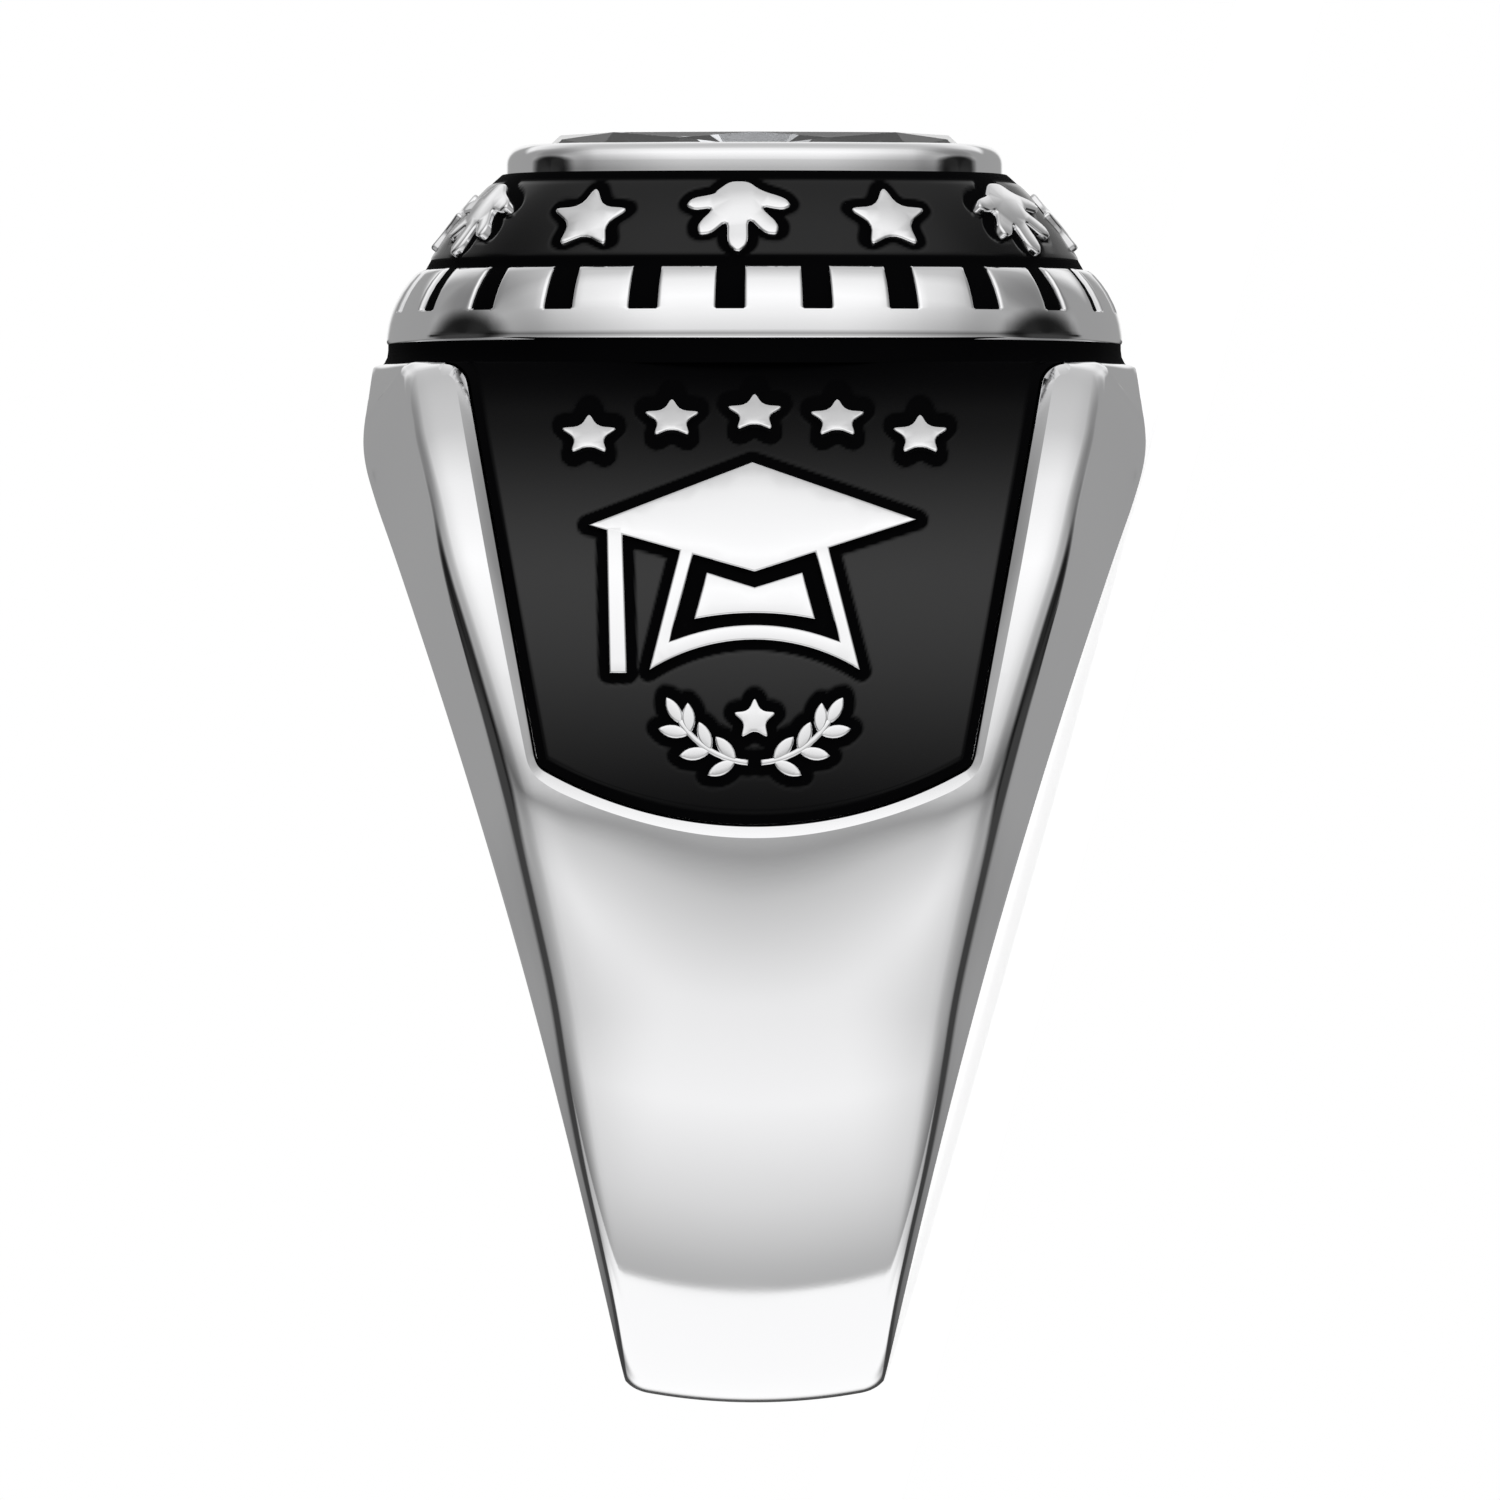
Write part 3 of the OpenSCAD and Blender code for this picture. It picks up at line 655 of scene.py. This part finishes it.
# Crown ornaments
# Stars and five-leafed palmettes of silver stand in turn on the field, cast with the crown
# and polished on top.
ORNAMENTS, STAR_START = 12, 2.9
STAR_R, STAR_WAIST, PALMETTE_L = 0.95, 0.46, 1.6
MID_IN, MID_Z = SKIRT_LEAN + FIELD_LEAN / 2, (TOOTH_Z + FIELD_Z) / 2


def star_outline(r):
    """A star with five points, one of them up."""
    turn = np.radians(-36.0 * np.arange(10))
    reach = r * np.where(np.arange(10) % 2 == 0, 1, STAR_WAIST)
    return np.stack([reach * np.sin(turn), reach * np.cos(turn)], axis=-1)


def palmette_outline(length):
    """Five blunt leaves that fan out downwards from a bud, the middle one longest."""
    points = []
    for i in range(-2, 3):
        for aside, share in ((-19, 0.45), (-10, 0.86), (0, 1), (10, 0.86)):
            turn, reach = math.radians(38 * i + aside), (1 - 0.13 * abs(i)) * share
            points.append([reach * math.sin(turn), -reach * math.cos(turn)])
    points += [[0.3, 0.09], [0.125, 0.25], [-0.125, 0.25], [-0.3, 0.09]]
    middle = np.array([0, 0.4])
    return length * (np.array(points) + middle)


def rounded(height, bevel):
    """A raised form's loops: its wall and a quarter round on top."""
    turn = np.radians((0, 30, 60, 90))
    return [(0, height)] + list(zip(-bevel * (1 - np.cos(turn)), bevel * (1 - np.sin(turn))))


def stamp(name, outline, height, bevel, dome):
    """One raised form at the origin in millimetres, flat in XY and with its top up Z."""
    points, faces = slab(outline, lambda flat, depth: np.column_stack([flat, -depth]),
                         rounded(height, bevel), dome=dome)
    return make_mesh(name, points, faces, Matrix())


def set_out_tree():
    """Geometry nodes that put a copy of a form on each of the places they are given."""
    tree = bpy.data.node_groups.new("set_out", "GeometryNodeTree")
    tree.is_modifier = True
    sockets = [tree.interface.new_socket(name, in_out=way, socket_type="NodeSocket" + kind).identifier
               for name, way, kind in (("Places", "INPUT", "Geometry"), ("Form", "INPUT", "Object"),
                                       ("Size", "INPUT", "Float"), ("Material", "INPUT", "Material"),
                                       ("Copies", "OUTPUT", "Geometry"))]
    given = add(tree, "NodeGroupInput").outputs
    form = add(tree, "GeometryNodeObjectInfo", {"Object": given["Form"]})
    facing = add(tree, "GeometryNodeInputNamedAttribute", {"Name": "facing"}, data_type="QUATERNION")
    turn = next(o for o in facing.outputs if o.enabled and o.name == "Attribute")
    copies = add(tree, "GeometryNodeInstanceOnPoints", {
        "Points": given["Places"], "Instance": form.outputs["Geometry"],
        "Rotation": turn, "Scale": given["Size"]})
    real = add(tree, "GeometryNodeRealizeInstances", {"Geometry": copies})
    dressed = add(tree, "GeometryNodeSetMaterial", {"Geometry": real, "Material": given["Material"]})
    add(tree, "NodeGroupOutput", {"Copies": dressed})
    return tree, sockets


SET_OUT, (_, FORM, SIZE, MATERIAL, _) = set_out_tree()


def set_out(name, form, frames, size=1.0):
    """Copies of a form at frames of (place, right, up), in local millimetres."""
    mesh = bpy.data.meshes.new(name)
    mesh.from_pydata([tuple(place) for place, _, _ in frames], [], [])
    facing = mesh.attributes.new("facing", "QUATERNION", "POINT")
    for item, (_, right, up) in zip(facing.data, frames):
        item.value = Matrix([right, up, np.cross(right, up)]).transposed().to_quaternion()
    piece = bpy.data.objects.new(name, mesh)
    bpy.context.scene.collection.objects.link(piece)
    step = piece.modifiers.new("set_out", "NODES")
    step.node_group = SET_OUT
    step[FORM], step[SIZE], step[MATERIAL] = form, size, SILVER
    applied(piece)
    piece.data.transform(LAID)
    finish_edges(piece, 60)
    as_silver(piece)
    return piece


def crown_frames(first):
    """Where every other ornament stands on the field: its place, its right and its up."""
    pitch = round_length(MID_IN) / ORNAMENTS
    lines = uprights(STAR_START + pitch * np.arange(first, ORNAMENTS, 2), MID_IN)
    place = on_upright(lines, skin(MID_Z), MID_Z)
    out = np.stack([np.cos(lines[3]), np.sin(lines[3]), 0 * lines[3]], axis=-1)
    right = np.stack([-np.sin(lines[3]), np.cos(lines[3]), 0 * lines[3]], axis=-1)
    up = np.array([0, 0, math.cos(FIELD_SLOPE)]) - math.sin(FIELD_SLOPE) * out
    return list(zip(place, right, up))


# The star and the palmette are drawn one unit large, and so their height, bevel and dome
# are shares of that
star = stamp("star", softened(star_outline(1.0)), height=0.6, bevel=0.058, dome=0.03)
palmette = stamp("palmette", softened(palmette_outline(1.0)), height=0.35, bevel=0.04, dome=0.03)
set_out("crown_stars", star, crown_frames(0), STAR_R)
set_out("crown_palmettes", palmette, crown_frames(1), PALMETTE_L)

# Panel work
# A mortarboard cap with its tassel, an arch of small stars and a laurel wreath of silver
# stand on each panel, level with the rails. They are cast with the shank and polished flat.
BOARD_W, BOARD_H, BOARD_Z = 7.1, 2.48, LEDGE_Z - 3.3
CAP_W, CAP_H, BAND_W = 4.5, 3.35, 0.3
TASSEL_W, TASSEL_L, TASSEL_TOP = 0.35, 3.4, 0.25
HEM_Z, BROW_Y = BOARD_Z - CAP_H, 0.32 * CAP_W
PANEL_STAR_R, MIDDLE_STAR_R = 0.68, 0.51
ARCH_Z, ARCH_STEP, ARCH_FALL = LEDGE_Z - 1.1, 2.6 * PANEL_STAR_R, 0.12
WREATH_R, WREATH_C = 1.85, np.array([0, HEM_Z - 0.1])
STEM_FROM, STEM_TO, STEM_W = 4, 60, 0.14
LEAF_L, LEAF_W = 0.7, 0.3
SPRIGS, SPRIG_TURN = (12, 30, 48), 38
FOOT, EDGE_ROUND = 0.1, 0.05


def other_side(p):
    """Flat places mirrored across the panel."""
    return p * np.array([-1, 1])


def moved(p, degrees, to):
    """An outline turned about the origin and carried to a place."""
    c, s = math.cos(math.radians(degrees)), math.sin(math.radians(degrees))
    return np.asarray(to) + p @ np.array([[c, s], [-s, c]])


def on_wreath(degrees, r=WREATH_R):
    """A place on the wreath's circle, by the angle from its foot."""
    a = math.radians(degrees)
    return WREATH_C + r * np.array([math.sin(a), -math.cos(a)])


def leaf_outline():
    """A pointed leaf from the origin up."""
    half = bow(LEAF_L / 2, 0, LEAF_W / 2, 8)[:, ::-1] + np.array([0, LEAF_L / 2])
    return np.concatenate([half, other_side(half)[::-1][1:-1]])


# The cap's band has two slanting legs up to the board, whose side tips hang a little
LEG_TOP = np.array([[BROW_Y + 0.4 * BAND_W, BOARD_Z - 0.25 * BOARD_H],
                    [BROW_Y - 0.6 * BAND_W, BOARD_Z - 0.29 * BOARD_H]])
BOARD = np.array([[-BOARD_W / 2, BOARD_Z - 0.24], [0, BOARD_Z - BOARD_H / 2],
                  [BOARD_W / 2 - 0.08, BOARD_Z - 0.12], [-0.05, BOARD_Z + BOARD_H / 2 - 0.12]])
TASSEL = np.array([-0.42 * BOARD_W, BOARD_Z]) + np.array([
    [-0.5 * TASSEL_W, -TASSEL_TOP], [-0.3 * TASSEL_W, -TASSEL_L],
    [0.8 * TASSEL_W, -TASSEL_L], [0.5 * TASSEL_W, -TASSEL_TOP]])
CAP_BAND = np.concatenate([bow(CAP_W / 2, HEM_Z, 2.2 * BAND_W), LEG_TOP,
                           bow(CAP_W / 2 - 1.5 * BAND_W, HEM_Z + 2.1 * BAND_W, 1.2 * BAND_W)[::-1],
                           other_side(LEG_TOP)[::-1]])
BROW = np.concatenate([bow(0.9 * BROW_Y, HEM_Z + 3.65 * BAND_W, 0.45 * BAND_W),
                       [[0.71 * BROW_Y, BOARD_Z - 0.5 * BOARD_H], [0, BOARD_Z - 0.63 * BOARD_H],
                        [-0.71 * BROW_Y, BOARD_Z - 0.5 * BOARD_H]]])
STEM = np.concatenate([arc(WREATH_C, WREATH_R + STEM_W / 2, STEM_FROM - 90, STEM_TO - 90, 10),
                       arc(WREATH_C, WREATH_R - STEM_W / 2, STEM_TO - 90, STEM_FROM - 90, 10)])

# Where the small forms stand on a panel, as [y, z] with a turn in degrees
ARCH = [((ARCH_STEP * i, ARCH_Z - ARCH_FALL * i * i), 0) for i in range(-2, 3)]
MIDDLE = [(on_wreath(0, WREATH_R / 2), 0)]
LEAVES = [(on_wreath(STEM_TO - STEM_FROM), STEM_TO - 90)]
LEAVES += [(on_wreath(a), a - 90 + turn) for a in SPRIGS for turn in (-SPRIG_TURN, SPRIG_TURN)]
LEAVES += [(other_side(np.array(place)), -turn) for place, turn in LEAVES]


def panel_frames(spots):
    """Frames of (place, right, up) on both shoulders' barrel for flat spots."""
    frames = []
    for side in (1, -1):
        for flat, degrees in spots:
            place = on_barrel(np.array(flat), 0.0)
            out = np.array([place[0], 0, place[2] - OUTER_UP]) / OUTER_R
            level, climb = np.array([0, 1.0, 0]), np.cross(out, [0, 1.0, 0])
            c, s = math.cos(math.radians(degrees)), math.sin(math.radians(degrees))
            right, up = c * level + s * climb, c * climb - s * level
            frames.append([half_turn(v, side) for v in (place, right, up)])
    return frames


flat_work = [BOARD, TASSEL, CAP_BAND, BROW, STEM, other_side(STEM)]
panel_work = make_mesh("panel_work", *together(
    slab(shape, lambda flat, depth, side=side: half_turn(on_barrel(flat, depth), side),
         rounded(PANEL_DEPTH + FOOT, EDGE_ROUND), dome=0.02)
    for side in (1, -1) for shape in flat_work))
finish_edges(panel_work, 60)
as_silver(panel_work)
leaf = stamp("leaf", leaf_outline(), PANEL_DEPTH, EDGE_ROUND, dome=0.03)
set_out("panel_stars", star, panel_frames(ARCH), PANEL_STAR_R)
set_out("panel_middle_stars", star, panel_frames(MIDDLE), MIDDLE_STAR_R)
set_out("panel_leaves", leaf, panel_frames(LEAVES))
for form in (star, palmette, leaf):
    bpy.data.objects.remove(form)

# Panel enamel
# Black enamel fills the sunk parts a little below the polished metal. Around the raised work it draws
# back into the corner, where it is made dull as painted shade, so each shape has a dark outline.
ENAMEL_LOW = 0.1
# The moat's width, in which the enamel is also made dull as painted shade, and its real depth
MOAT_W, MOAT_D = 0.26, 0.03
# How glossy the face is at a few heights: full in the middle, lower towards the low end, and dull under the
# crown as painted shade
GLOSS_PAINTED_SHADE_BY_HEIGHT = [(1.2, 0.1), (1.7, 0.2), (3.4, 0.6), (5.2, 1.0), (7.0, 1.0), (8.2, 0.6), (9.3, 0.25),
         (10.3, 0)]
FILL_GAP, FILL_ROWS, FILL_COLUMNS = 0.02, 180, 220


def enamel_material():
    """Black enamel: a glassy face with a slight ripple, made dull and dark where a point attribute paints
    shade.
    """
    enamel, tree, place = new_material("black_enamel")
    shine = add(tree, "ShaderNodeAttribute", attribute_name="shine").outputs["Fac"]
    rough = add(tree, "ShaderNodeMapRange", {
        "Value": shine, "From Max": 0.15, "To Min": 0.8, "To Max": 0.16})
    level = add(tree, "ShaderNodeMapRange", {"Value": shine, "To Min": 0.02, "To Max": 0.5})
    flow = add(tree, "ShaderNodeTexNoise", {"Vector": place, "Scale": 0.7 * PER_MM})
    ripple = add(tree, "ShaderNodeBump", {"Height": flow, "Strength": 0.05, "Distance": 0.00005})
    glaze = add(tree, "ShaderNodeBsdfPrincipled", {
        "Base Color": linear("#040405"), "Roughness": rough, "Specular IOR Level": level,
        "Normal": ripple})
    add(tree, "ShaderNodeOutputMaterial", {"Surface": glaze})
    return enamel


ENAMEL = enamel_material()


def as_enamel(piece, node, shine):
    """Makes a piece a node's enamel, with how glossy it is at each point, low where shade is painted."""
    mark = piece.data.attributes.new("shine", "FLOAT", "POINT")
    values = np.zeros(len(piece.data.vertices), np.float32)
    values[:len(shine)] = shine
    mark.data.foreach_set("value", values)
    piece.data.shade_smooth()
    piece.data.set_sharp_from_angle(angle=math.radians(60))
    piece.data.materials.append(ENAMEL)
    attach(piece, "root")
    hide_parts(node)


def panel_fill(name, side):
    """A closed sheet over a panel's floor: rows up the panel, walls and a plain underside."""
    up, across = np.meshgrid(np.linspace(0, 1, FILL_ROWS), np.linspace(-1, 1, FILL_COLUMNS), indexing="ij")
    low_r = bow_r(PANEL_LOW, PANEL_BOW)
    z = PANEL_CORNER_Z + up * (LEDGE_Z - PANEL_CORNER_Z)
    # The panel's width depends on the height and its low edge on the width, so by turns
    for _ in range(6):
        y = across * (panel_half(z) - FILL_GAP)
        drop = np.sqrt(low_r ** 2 - np.minimum(np.abs(y), PANEL_LOW) ** 2)
        low = PANEL_CORNER_Z - PANEL_BOW + low_r - drop + FILL_GAP
        z = low + up * (LEDGE_Z - low)
    flat = np.stack([y, z], axis=-1)
    work = flat_work + [softened(star_outline(PANEL_STAR_R)) + np.array(place) for place, _ in ARCH]
    work += [softened(star_outline(MIDDLE_STAR_R)) + place for place, _ in MIDDLE]
    work += [moved(leaf_outline(), turn, place) for place, turn in LEAVES]
    work.append(filled(panel_outline(LEDGE_Z + 5), 0.5))
    near = edge_distance(flat.reshape(-1, 2), work).reshape(y.shape)
    # Away from the raised work the enamel is glossy; in the moat it is made dull as painted shade
    outside_moat_and_painted_shade = smooth(0.8 * MOAT_W, MOAT_W, near)
    top = on_barrel(flat, ENAMEL_LOW + MOAT_D * (1 - outside_moat_and_painted_shade)).reshape(-1, 3)
    # The gloss also fades by height, as painted shade under the crown
    shine = (outside_moat_and_painted_shade * eased(GLOSS_PAINTED_SHADE_BY_HEIGHT, z)).ravel()
    rows, columns = y.shape
    # The sheet's edge in order: the low end, up the right side, back and down the left
    edge = [(0, j) for j in range(columns)] + [(i, columns - 1) for i in range(1, rows)]
    edge += [(rows - 1, j) for j in range(columns - 2, -1, -1)] + [(i, 0) for i in range(rows - 2, 0, -1)]
    ring = np.array([flat[i, j] for i, j in edge])
    under, under_faces = cover(ring, on_barrel, PANEL_DEPTH - FILL_GAP, 0.0, 0.8)
    n, m = rows * columns, len(ring)
    faces = grid_faces(rows, columns) + [tuple(n + i for i in f[::-1]) for f in under_faces]
    at = [i * columns + j for i, j in edge]
    faces += [(at[k], at[(k + 1) % m], n + (k + 1) % m, n + k) for k in range(m)]
    piece = make_mesh(name, half_turn(np.concatenate([top, under]), side), faces)
    as_enamel(piece, name.replace("fill", "enamel"), shine)


panel_fill("panel_fill_right", 1)
panel_fill("panel_fill_left", -1)

# Crown enamel
# The same black enamel fills the crown's field around the ornaments and the slots between
# the teeth, in one band below the bezel rim.
FILL_LOW, FILL_BACK = 12.0, FIELD_DEPTH + 0.03
CROWN_SHINE = 0.6
ORNAMENT_REACH = 2


def crown_fill():
    """Rings up the band's face and down its back, glossy away from the raised edges and dull along them as
    painted shade.
    """
    whole = round_length(MID_IN)
    s = np.linspace(0, whole, 1401)[:-1]
    z = np.concatenate([np.linspace(FILL_LOW, TOOTH_Z - 0.1, 5), np.linspace(TOOTH_Z - 0.03, FIELD_Z, 44)])
    along = (z - MID_Z) / math.cos(FIELD_SLOPE)
    near = np.minimum(np.abs(z - FIELD_Z), np.abs(z - TOOTH_Z - 0.02))[:, None] + 0 * s
    shapes = [softened(star_outline(STAR_R)), softened(palmette_outline(PALMETTE_L))]
    for i in range(ORNAMENTS):
        u = np.mod(s - STAR_START - i * whole / ORNAMENTS + whole / 2, whole) - whole / 2
        close = np.abs(u) < ORNAMENT_REACH
        flat = np.stack(np.meshgrid(u[close], along), axis=-1)
        d = edge_distance(flat.reshape(-1, 2), [shapes[i % 2]]).reshape(len(z), -1)
        near[:, close] = np.minimum(near[:, close], d)
    # The slots and the enamel along the ornaments, rim and teeth are made dull as painted shade
    near[z < TOOTH_Z] = 0
    outside_moat_and_painted_shade = smooth(0.7 * MOAT_W, MOAT_W, near)
    lines = uprights(s, MID_IN)
    depth = ENAMEL_LOW + MOAT_D * (1 - outside_moat_and_painted_shade)
    rings = [on_upright(lines, skin(h) + d, h) for h, d in zip(z, depth)]
    rings += [on_upright(lines, skin(h) + FILL_BACK, h) for h in z[::-6]]
    faces = grid_faces(len(rings), len(s), True, True)
    piece = make_mesh("crown_fill", np.concatenate(rings), faces)
    as_enamel(piece, "crown_enamel", CROWN_SHINE * outside_moat_and_painted_shade.ravel())


crown_fill()

# Neck enamel
# The groove under the skirt is filled with the same enamel all round, made dull all over as painted shade
# under the skirt. It flares out at its foot, where it meets the shoulders.
NECK_STEPS = 400
# The fill's section from its foot up and back inside the neck, as (inset, height)
NECK = [(1.2, 10.9), (0.3, 10.95), (-0.12, 11.08), (-0.04, 11.18), (0.02, 11.3), (0.04, 11.45),
        (0.04, 11.57), (1.2, 11.57)]
# No gloss anywhere, so the neck's enamel stays dark as painted shade
dull_painted_shade = np.zeros(0)

lines = uprights(np.linspace(0, round_length(0), NECK_STEPS + 1)[:-1], 0)
neck = make_mesh("neck_fill", np.concatenate([on_upright(lines, inset, z) for inset, z in NECK]),
                 grid_faces(len(NECK), NECK_STEPS, True, True))
as_enamel(neck, "neck_enamel", dull_painted_shade)

# Stone
# A clear cushion-cut stone, such as cubic zirconia, sits in the rim on a seat. Its table
# stands just clear of the rim.


def stone_material():
    """Cut cubic zirconia: clear, sharp and bright, with a trace of haze from polishing."""
    clear, tree, place = new_material("clear_cut_stone")
    rubbed = add(tree, "ShaderNodeTexNoise", {"Vector": place, "Scale": 0.3 * PER_MM})
    haze = add(tree, "ShaderNodeMapRange", {"Value": rubbed, "To Min": 0.0, "To Max": 0.05})
    gem = add(tree, "ShaderNodeBsdfPrincipled", {
        "Base Color": linear("#f6f8fb"), "Roughness": haze, "IOR": 2.15, "Transmission Weight": 1.0})
    add(tree, "ShaderNodeOutputMaterial", {"Surface": gem})
    return clear


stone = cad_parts["stone"]
stone.data.materials.clear()
stone.data.materials.append(stone_material())

# Floor
# A round sheet of white acrylic, lit through from below as product tables are. The ring
# doesn't mirror it, since it would take the dark parts out of the silver.
FLOOR_R, FLOOR_STEPS = 0.07, 96
# A hair below the ring, in metres as the radius is
FLOOR_Z = -2e-5


def acrylic_material():
    """Opal white acrylic with a fine matt grain, glowing evenly."""
    acrylic, tree, place = new_material("white_acrylic_lit")
    matt = add(tree, "ShaderNodeTexNoise", {"Vector": place, "Scale": 0.2 * PER_MM})
    grain = add(tree, "ShaderNodeMapRange", {"Value": matt, "To Min": 0.55, "To Max": 0.6})
    sheet = add(tree, "ShaderNodeBsdfPrincipled", {
        "Base Color": linear("#f4f4f4"), "Roughness": grain, "Specular IOR Level": 0.1,
        "Emission Color": linear("#ffffff"), "Emission Strength": 0.72})
    add(tree, "ShaderNodeOutputMaterial", {"Surface": sheet})
    return acrylic


def floor_piece():
    """The sheet as one flat polygon with many sides."""
    mesh = bpy.data.meshes.new("floor")
    edge = arc((0, 0), FLOOR_R, 0, 360, FLOOR_STEPS)[:-1]
    mesh.from_pydata([(x, y, FLOOR_Z) for x, y in edge.tolist()], [], [tuple(range(FLOOR_STEPS))])
    mesh.materials.append(acrylic_material())
    floor = bpy.data.objects.new("floor", mesh)
    bpy.context.scene.collection.objects.link(floor)
    floor.visible_glossy = False


floor_piece()

# Light
# A light tent of white cloth stands round the ring, with soft panels of different strength.
# A curved black flag on each side draws the dark line along the shank's edges, and behind
# the ring the tent is an even grey but for a white strip. The camera sees plain white.
TENT_MAX = 1.2
GREY_SIDE, BLACK_SIDE, GREY_BACK = 0.4, 0.05, 0.34
FLAG_W = 0.35
# Strength by the angle in degrees from the camera's side up towards the crown
TENT = [(-180, 0.05), (-169, 0.08), (-164, 1.05), (-107, 1.05), (-105, 0.46), (-98, 0.52),
        (-80, 0.75), (-56, 0.98), (-34, 0.9), (-13, 0.6), (-4, 0.33), (2, 0.5), (14, 0.8),
        (30, 0.95), (55, 1.1), (75, 0.95), (90, 0.65), (108, 0.55), (125, 0.6), (150, 0.95),
        (180, 0.95)]


def studio():
    """The tent as the world's strength, from how far a ray points front, up and aside."""
    world = bpy.data.worlds.new("studio")
    bpy.context.scene.world = world
    world.use_nodes = True
    tree = world.node_tree
    tree.nodes.clear()
    way = add(tree, "ShaderNodeTexCoord").outputs["Generated"]
    front, up, sideways = (
        add(tree, "ShaderNodeVectorMath", {0: way, 1: axis}, operation="DOT_PRODUCT").outputs["Value"]
        for axis in ((0, -1, 0), (math.cos(TILT), 0, math.sin(TILT)), (math.sin(TILT), 0, -math.cos(TILT))))
    aside = add(tree, "ShaderNodeMath", {0: sideways}, operation="ABSOLUTE")
    turn = add(tree, "ShaderNodeMath", {0: up, 1: front}, operation="ARCTAN2")
    round_share = add(tree, "ShaderNodeMapRange", {
        "Value": turn, "From Min": -math.pi, "From Max": math.pi})
    curve = add(tree, "ShaderNodeFloatCurve", {"Value": round_share})
    points = curve.mapping.curves[0].points
    while len(points) < len(TENT):
        points.new(0.5, 0.5)
    for point, (degrees, light) in zip(points, TENT):
        point.location = ((degrees + 180) / 360, light / TENT_MAX)
        point.handle_type = "VECTOR"
    curve.mapping.update()
    tent = add(tree, "ShaderNodeMath", {0: curve, 1: TENT_MAX}, operation="MULTIPLY")

    # Before the ring, the tent fades sideways to grey and then to black
    before = tent
    for start, end, light in ((0.25, 0.8, GREY_SIDE), (0.86, 0.96, BLACK_SIDE)):
        fade = add(tree, "ShaderNodeMapRange", {
            "Value": aside, "From Min": start, "From Max": end, "To Min": 1.0, "To Max": light},
            interpolation_type="SMOOTHSTEP")
        before = add(tree, "ShaderNodeMath", {0: before, 1: fade}, operation="MULTIPLY")

    # Behind it, grey takes over from the strip in the middle, but for above and below
    steep = add(tree, "ShaderNodeMath", {0: up}, operation="ABSOLUTE")
    level = add(tree, "ShaderNodeMapRange", {
        "Value": steep, "From Min": 0.45, "From Max": 0.3}, interpolation_type="SMOOTHSTEP")
    far_aside = add(tree, "ShaderNodeMapRange", {
        "Value": aside, "From Min": 0.45, "From Max": 0.65}, interpolation_type="SMOOTHSTEP")
    off_strip = add(tree, "ShaderNodeMapRange", {
        "Value": aside, "From Min": 0.1, "From Max": 0.25}, interpolation_type="SMOOTHSTEP")
    upright = add(tree, "ShaderNodeMath", {0: level, 1: far_aside}, operation="MAXIMUM")
    grey = add(tree, "ShaderNodeMath", {0: off_strip, 1: upright}, operation="MULTIPLY")
    behind = add(tree, "ShaderNodeMix", {"Factor": grey, "A": tent, "B": GREY_BACK})
    ahead = add(tree, "ShaderNodeMapRange", {
        "Value": front, "From Min": -0.5, "From Max": -0.42}, interpolation_type="SMOOTHSTEP")
    around = add(tree, "ShaderNodeMix", {"Factor": ahead, "A": behind, "B": before})

    # The flags follow the curve front + 1 = aside squared, on the palm's side of the ring
    square = add(tree, "ShaderNodeMath", {0: aside, 1: aside}, operation="MULTIPLY")
    square = add(tree, "ShaderNodeMath", {0: square, 1: 0.02}, operation="MAXIMUM")
    ratio = add(tree, "ShaderNodeMath", {0: front, 1: 1.0}, operation="ADD")
    ratio = add(tree, "ShaderNodeMath", {0: ratio, 1: square}, operation="DIVIDE")
    off_flag = add(tree, "ShaderNodeMath", {0: ratio, 1: 1.0}, operation="SUBTRACT")
    off_flag = add(tree, "ShaderNodeMath", {0: off_flag}, operation="ABSOLUTE")
    on_flag = add(tree, "ShaderNodeMapRange", {
        "Value": off_flag, "From Min": FLAG_W, "From Max": 0.4 * FLAG_W}, interpolation_type="SMOOTHSTEP")
    palm_side = add(tree, "ShaderNodeMapRange", {
        "Value": up, "From Min": 0.1, "From Max": -0.1}, interpolation_type="SMOOTHSTEP")
    flag = add(tree, "ShaderNodeMath", {0: on_flag, 1: palm_side}, operation="MULTIPLY")
    around = add(tree, "ShaderNodeMix", {"Factor": flag, "A": around, "B": BLACK_SIDE})

    seen = add(tree, "ShaderNodeLightPath").outputs["Is Camera Ray"]
    shown = add(tree, "ShaderNodeMix", {"Factor": seen, "A": around, "B": 1.0})
    sky = add(tree, "ShaderNodeBackground", {"Color": linear("#ffffff"), "Strength": shown})
    add(tree, "ShaderNodeOutputWorld", {"Surface": sky})


studio()
bpy.context.scene.view_settings.view_transform = "Standard"

# Camera
# The photograph looks straight at one shoulder along the flank, with the crown up. A long
# lens takes it from half a metre away, which keeps its sides true.
LOOK_AT = LAID @ Vector((0, -0.098, 2.774))
# How far off the camera is and how much it takes in there, in metres
DISTANCE = 0.5
VIEW_W = 0.0326


def place_camera():
    """A camera square to the flank, with the crown at the top of its picture."""
    camera = bpy.data.objects.new("camera", bpy.data.cameras.new("camera"))
    bpy.context.scene.collection.objects.link(camera)
    right = Vector((math.sin(TILT), 0, -math.cos(TILT)))
    up = Vector((math.cos(TILT), 0, math.sin(TILT)))
    back = Vector((0, -1, 0))
    pose = Matrix((right, up, back)).transposed().to_4x4()
    pose.translation = LOOK_AT + back * DISTANCE
    camera.matrix_world = pose
    camera.data.lens = camera.data.sensor_width * DISTANCE / VIEW_W
    camera.data.clip_start, camera.data.clip_end = 0.01, 10
    bpy.context.scene.camera = camera


place_camera()
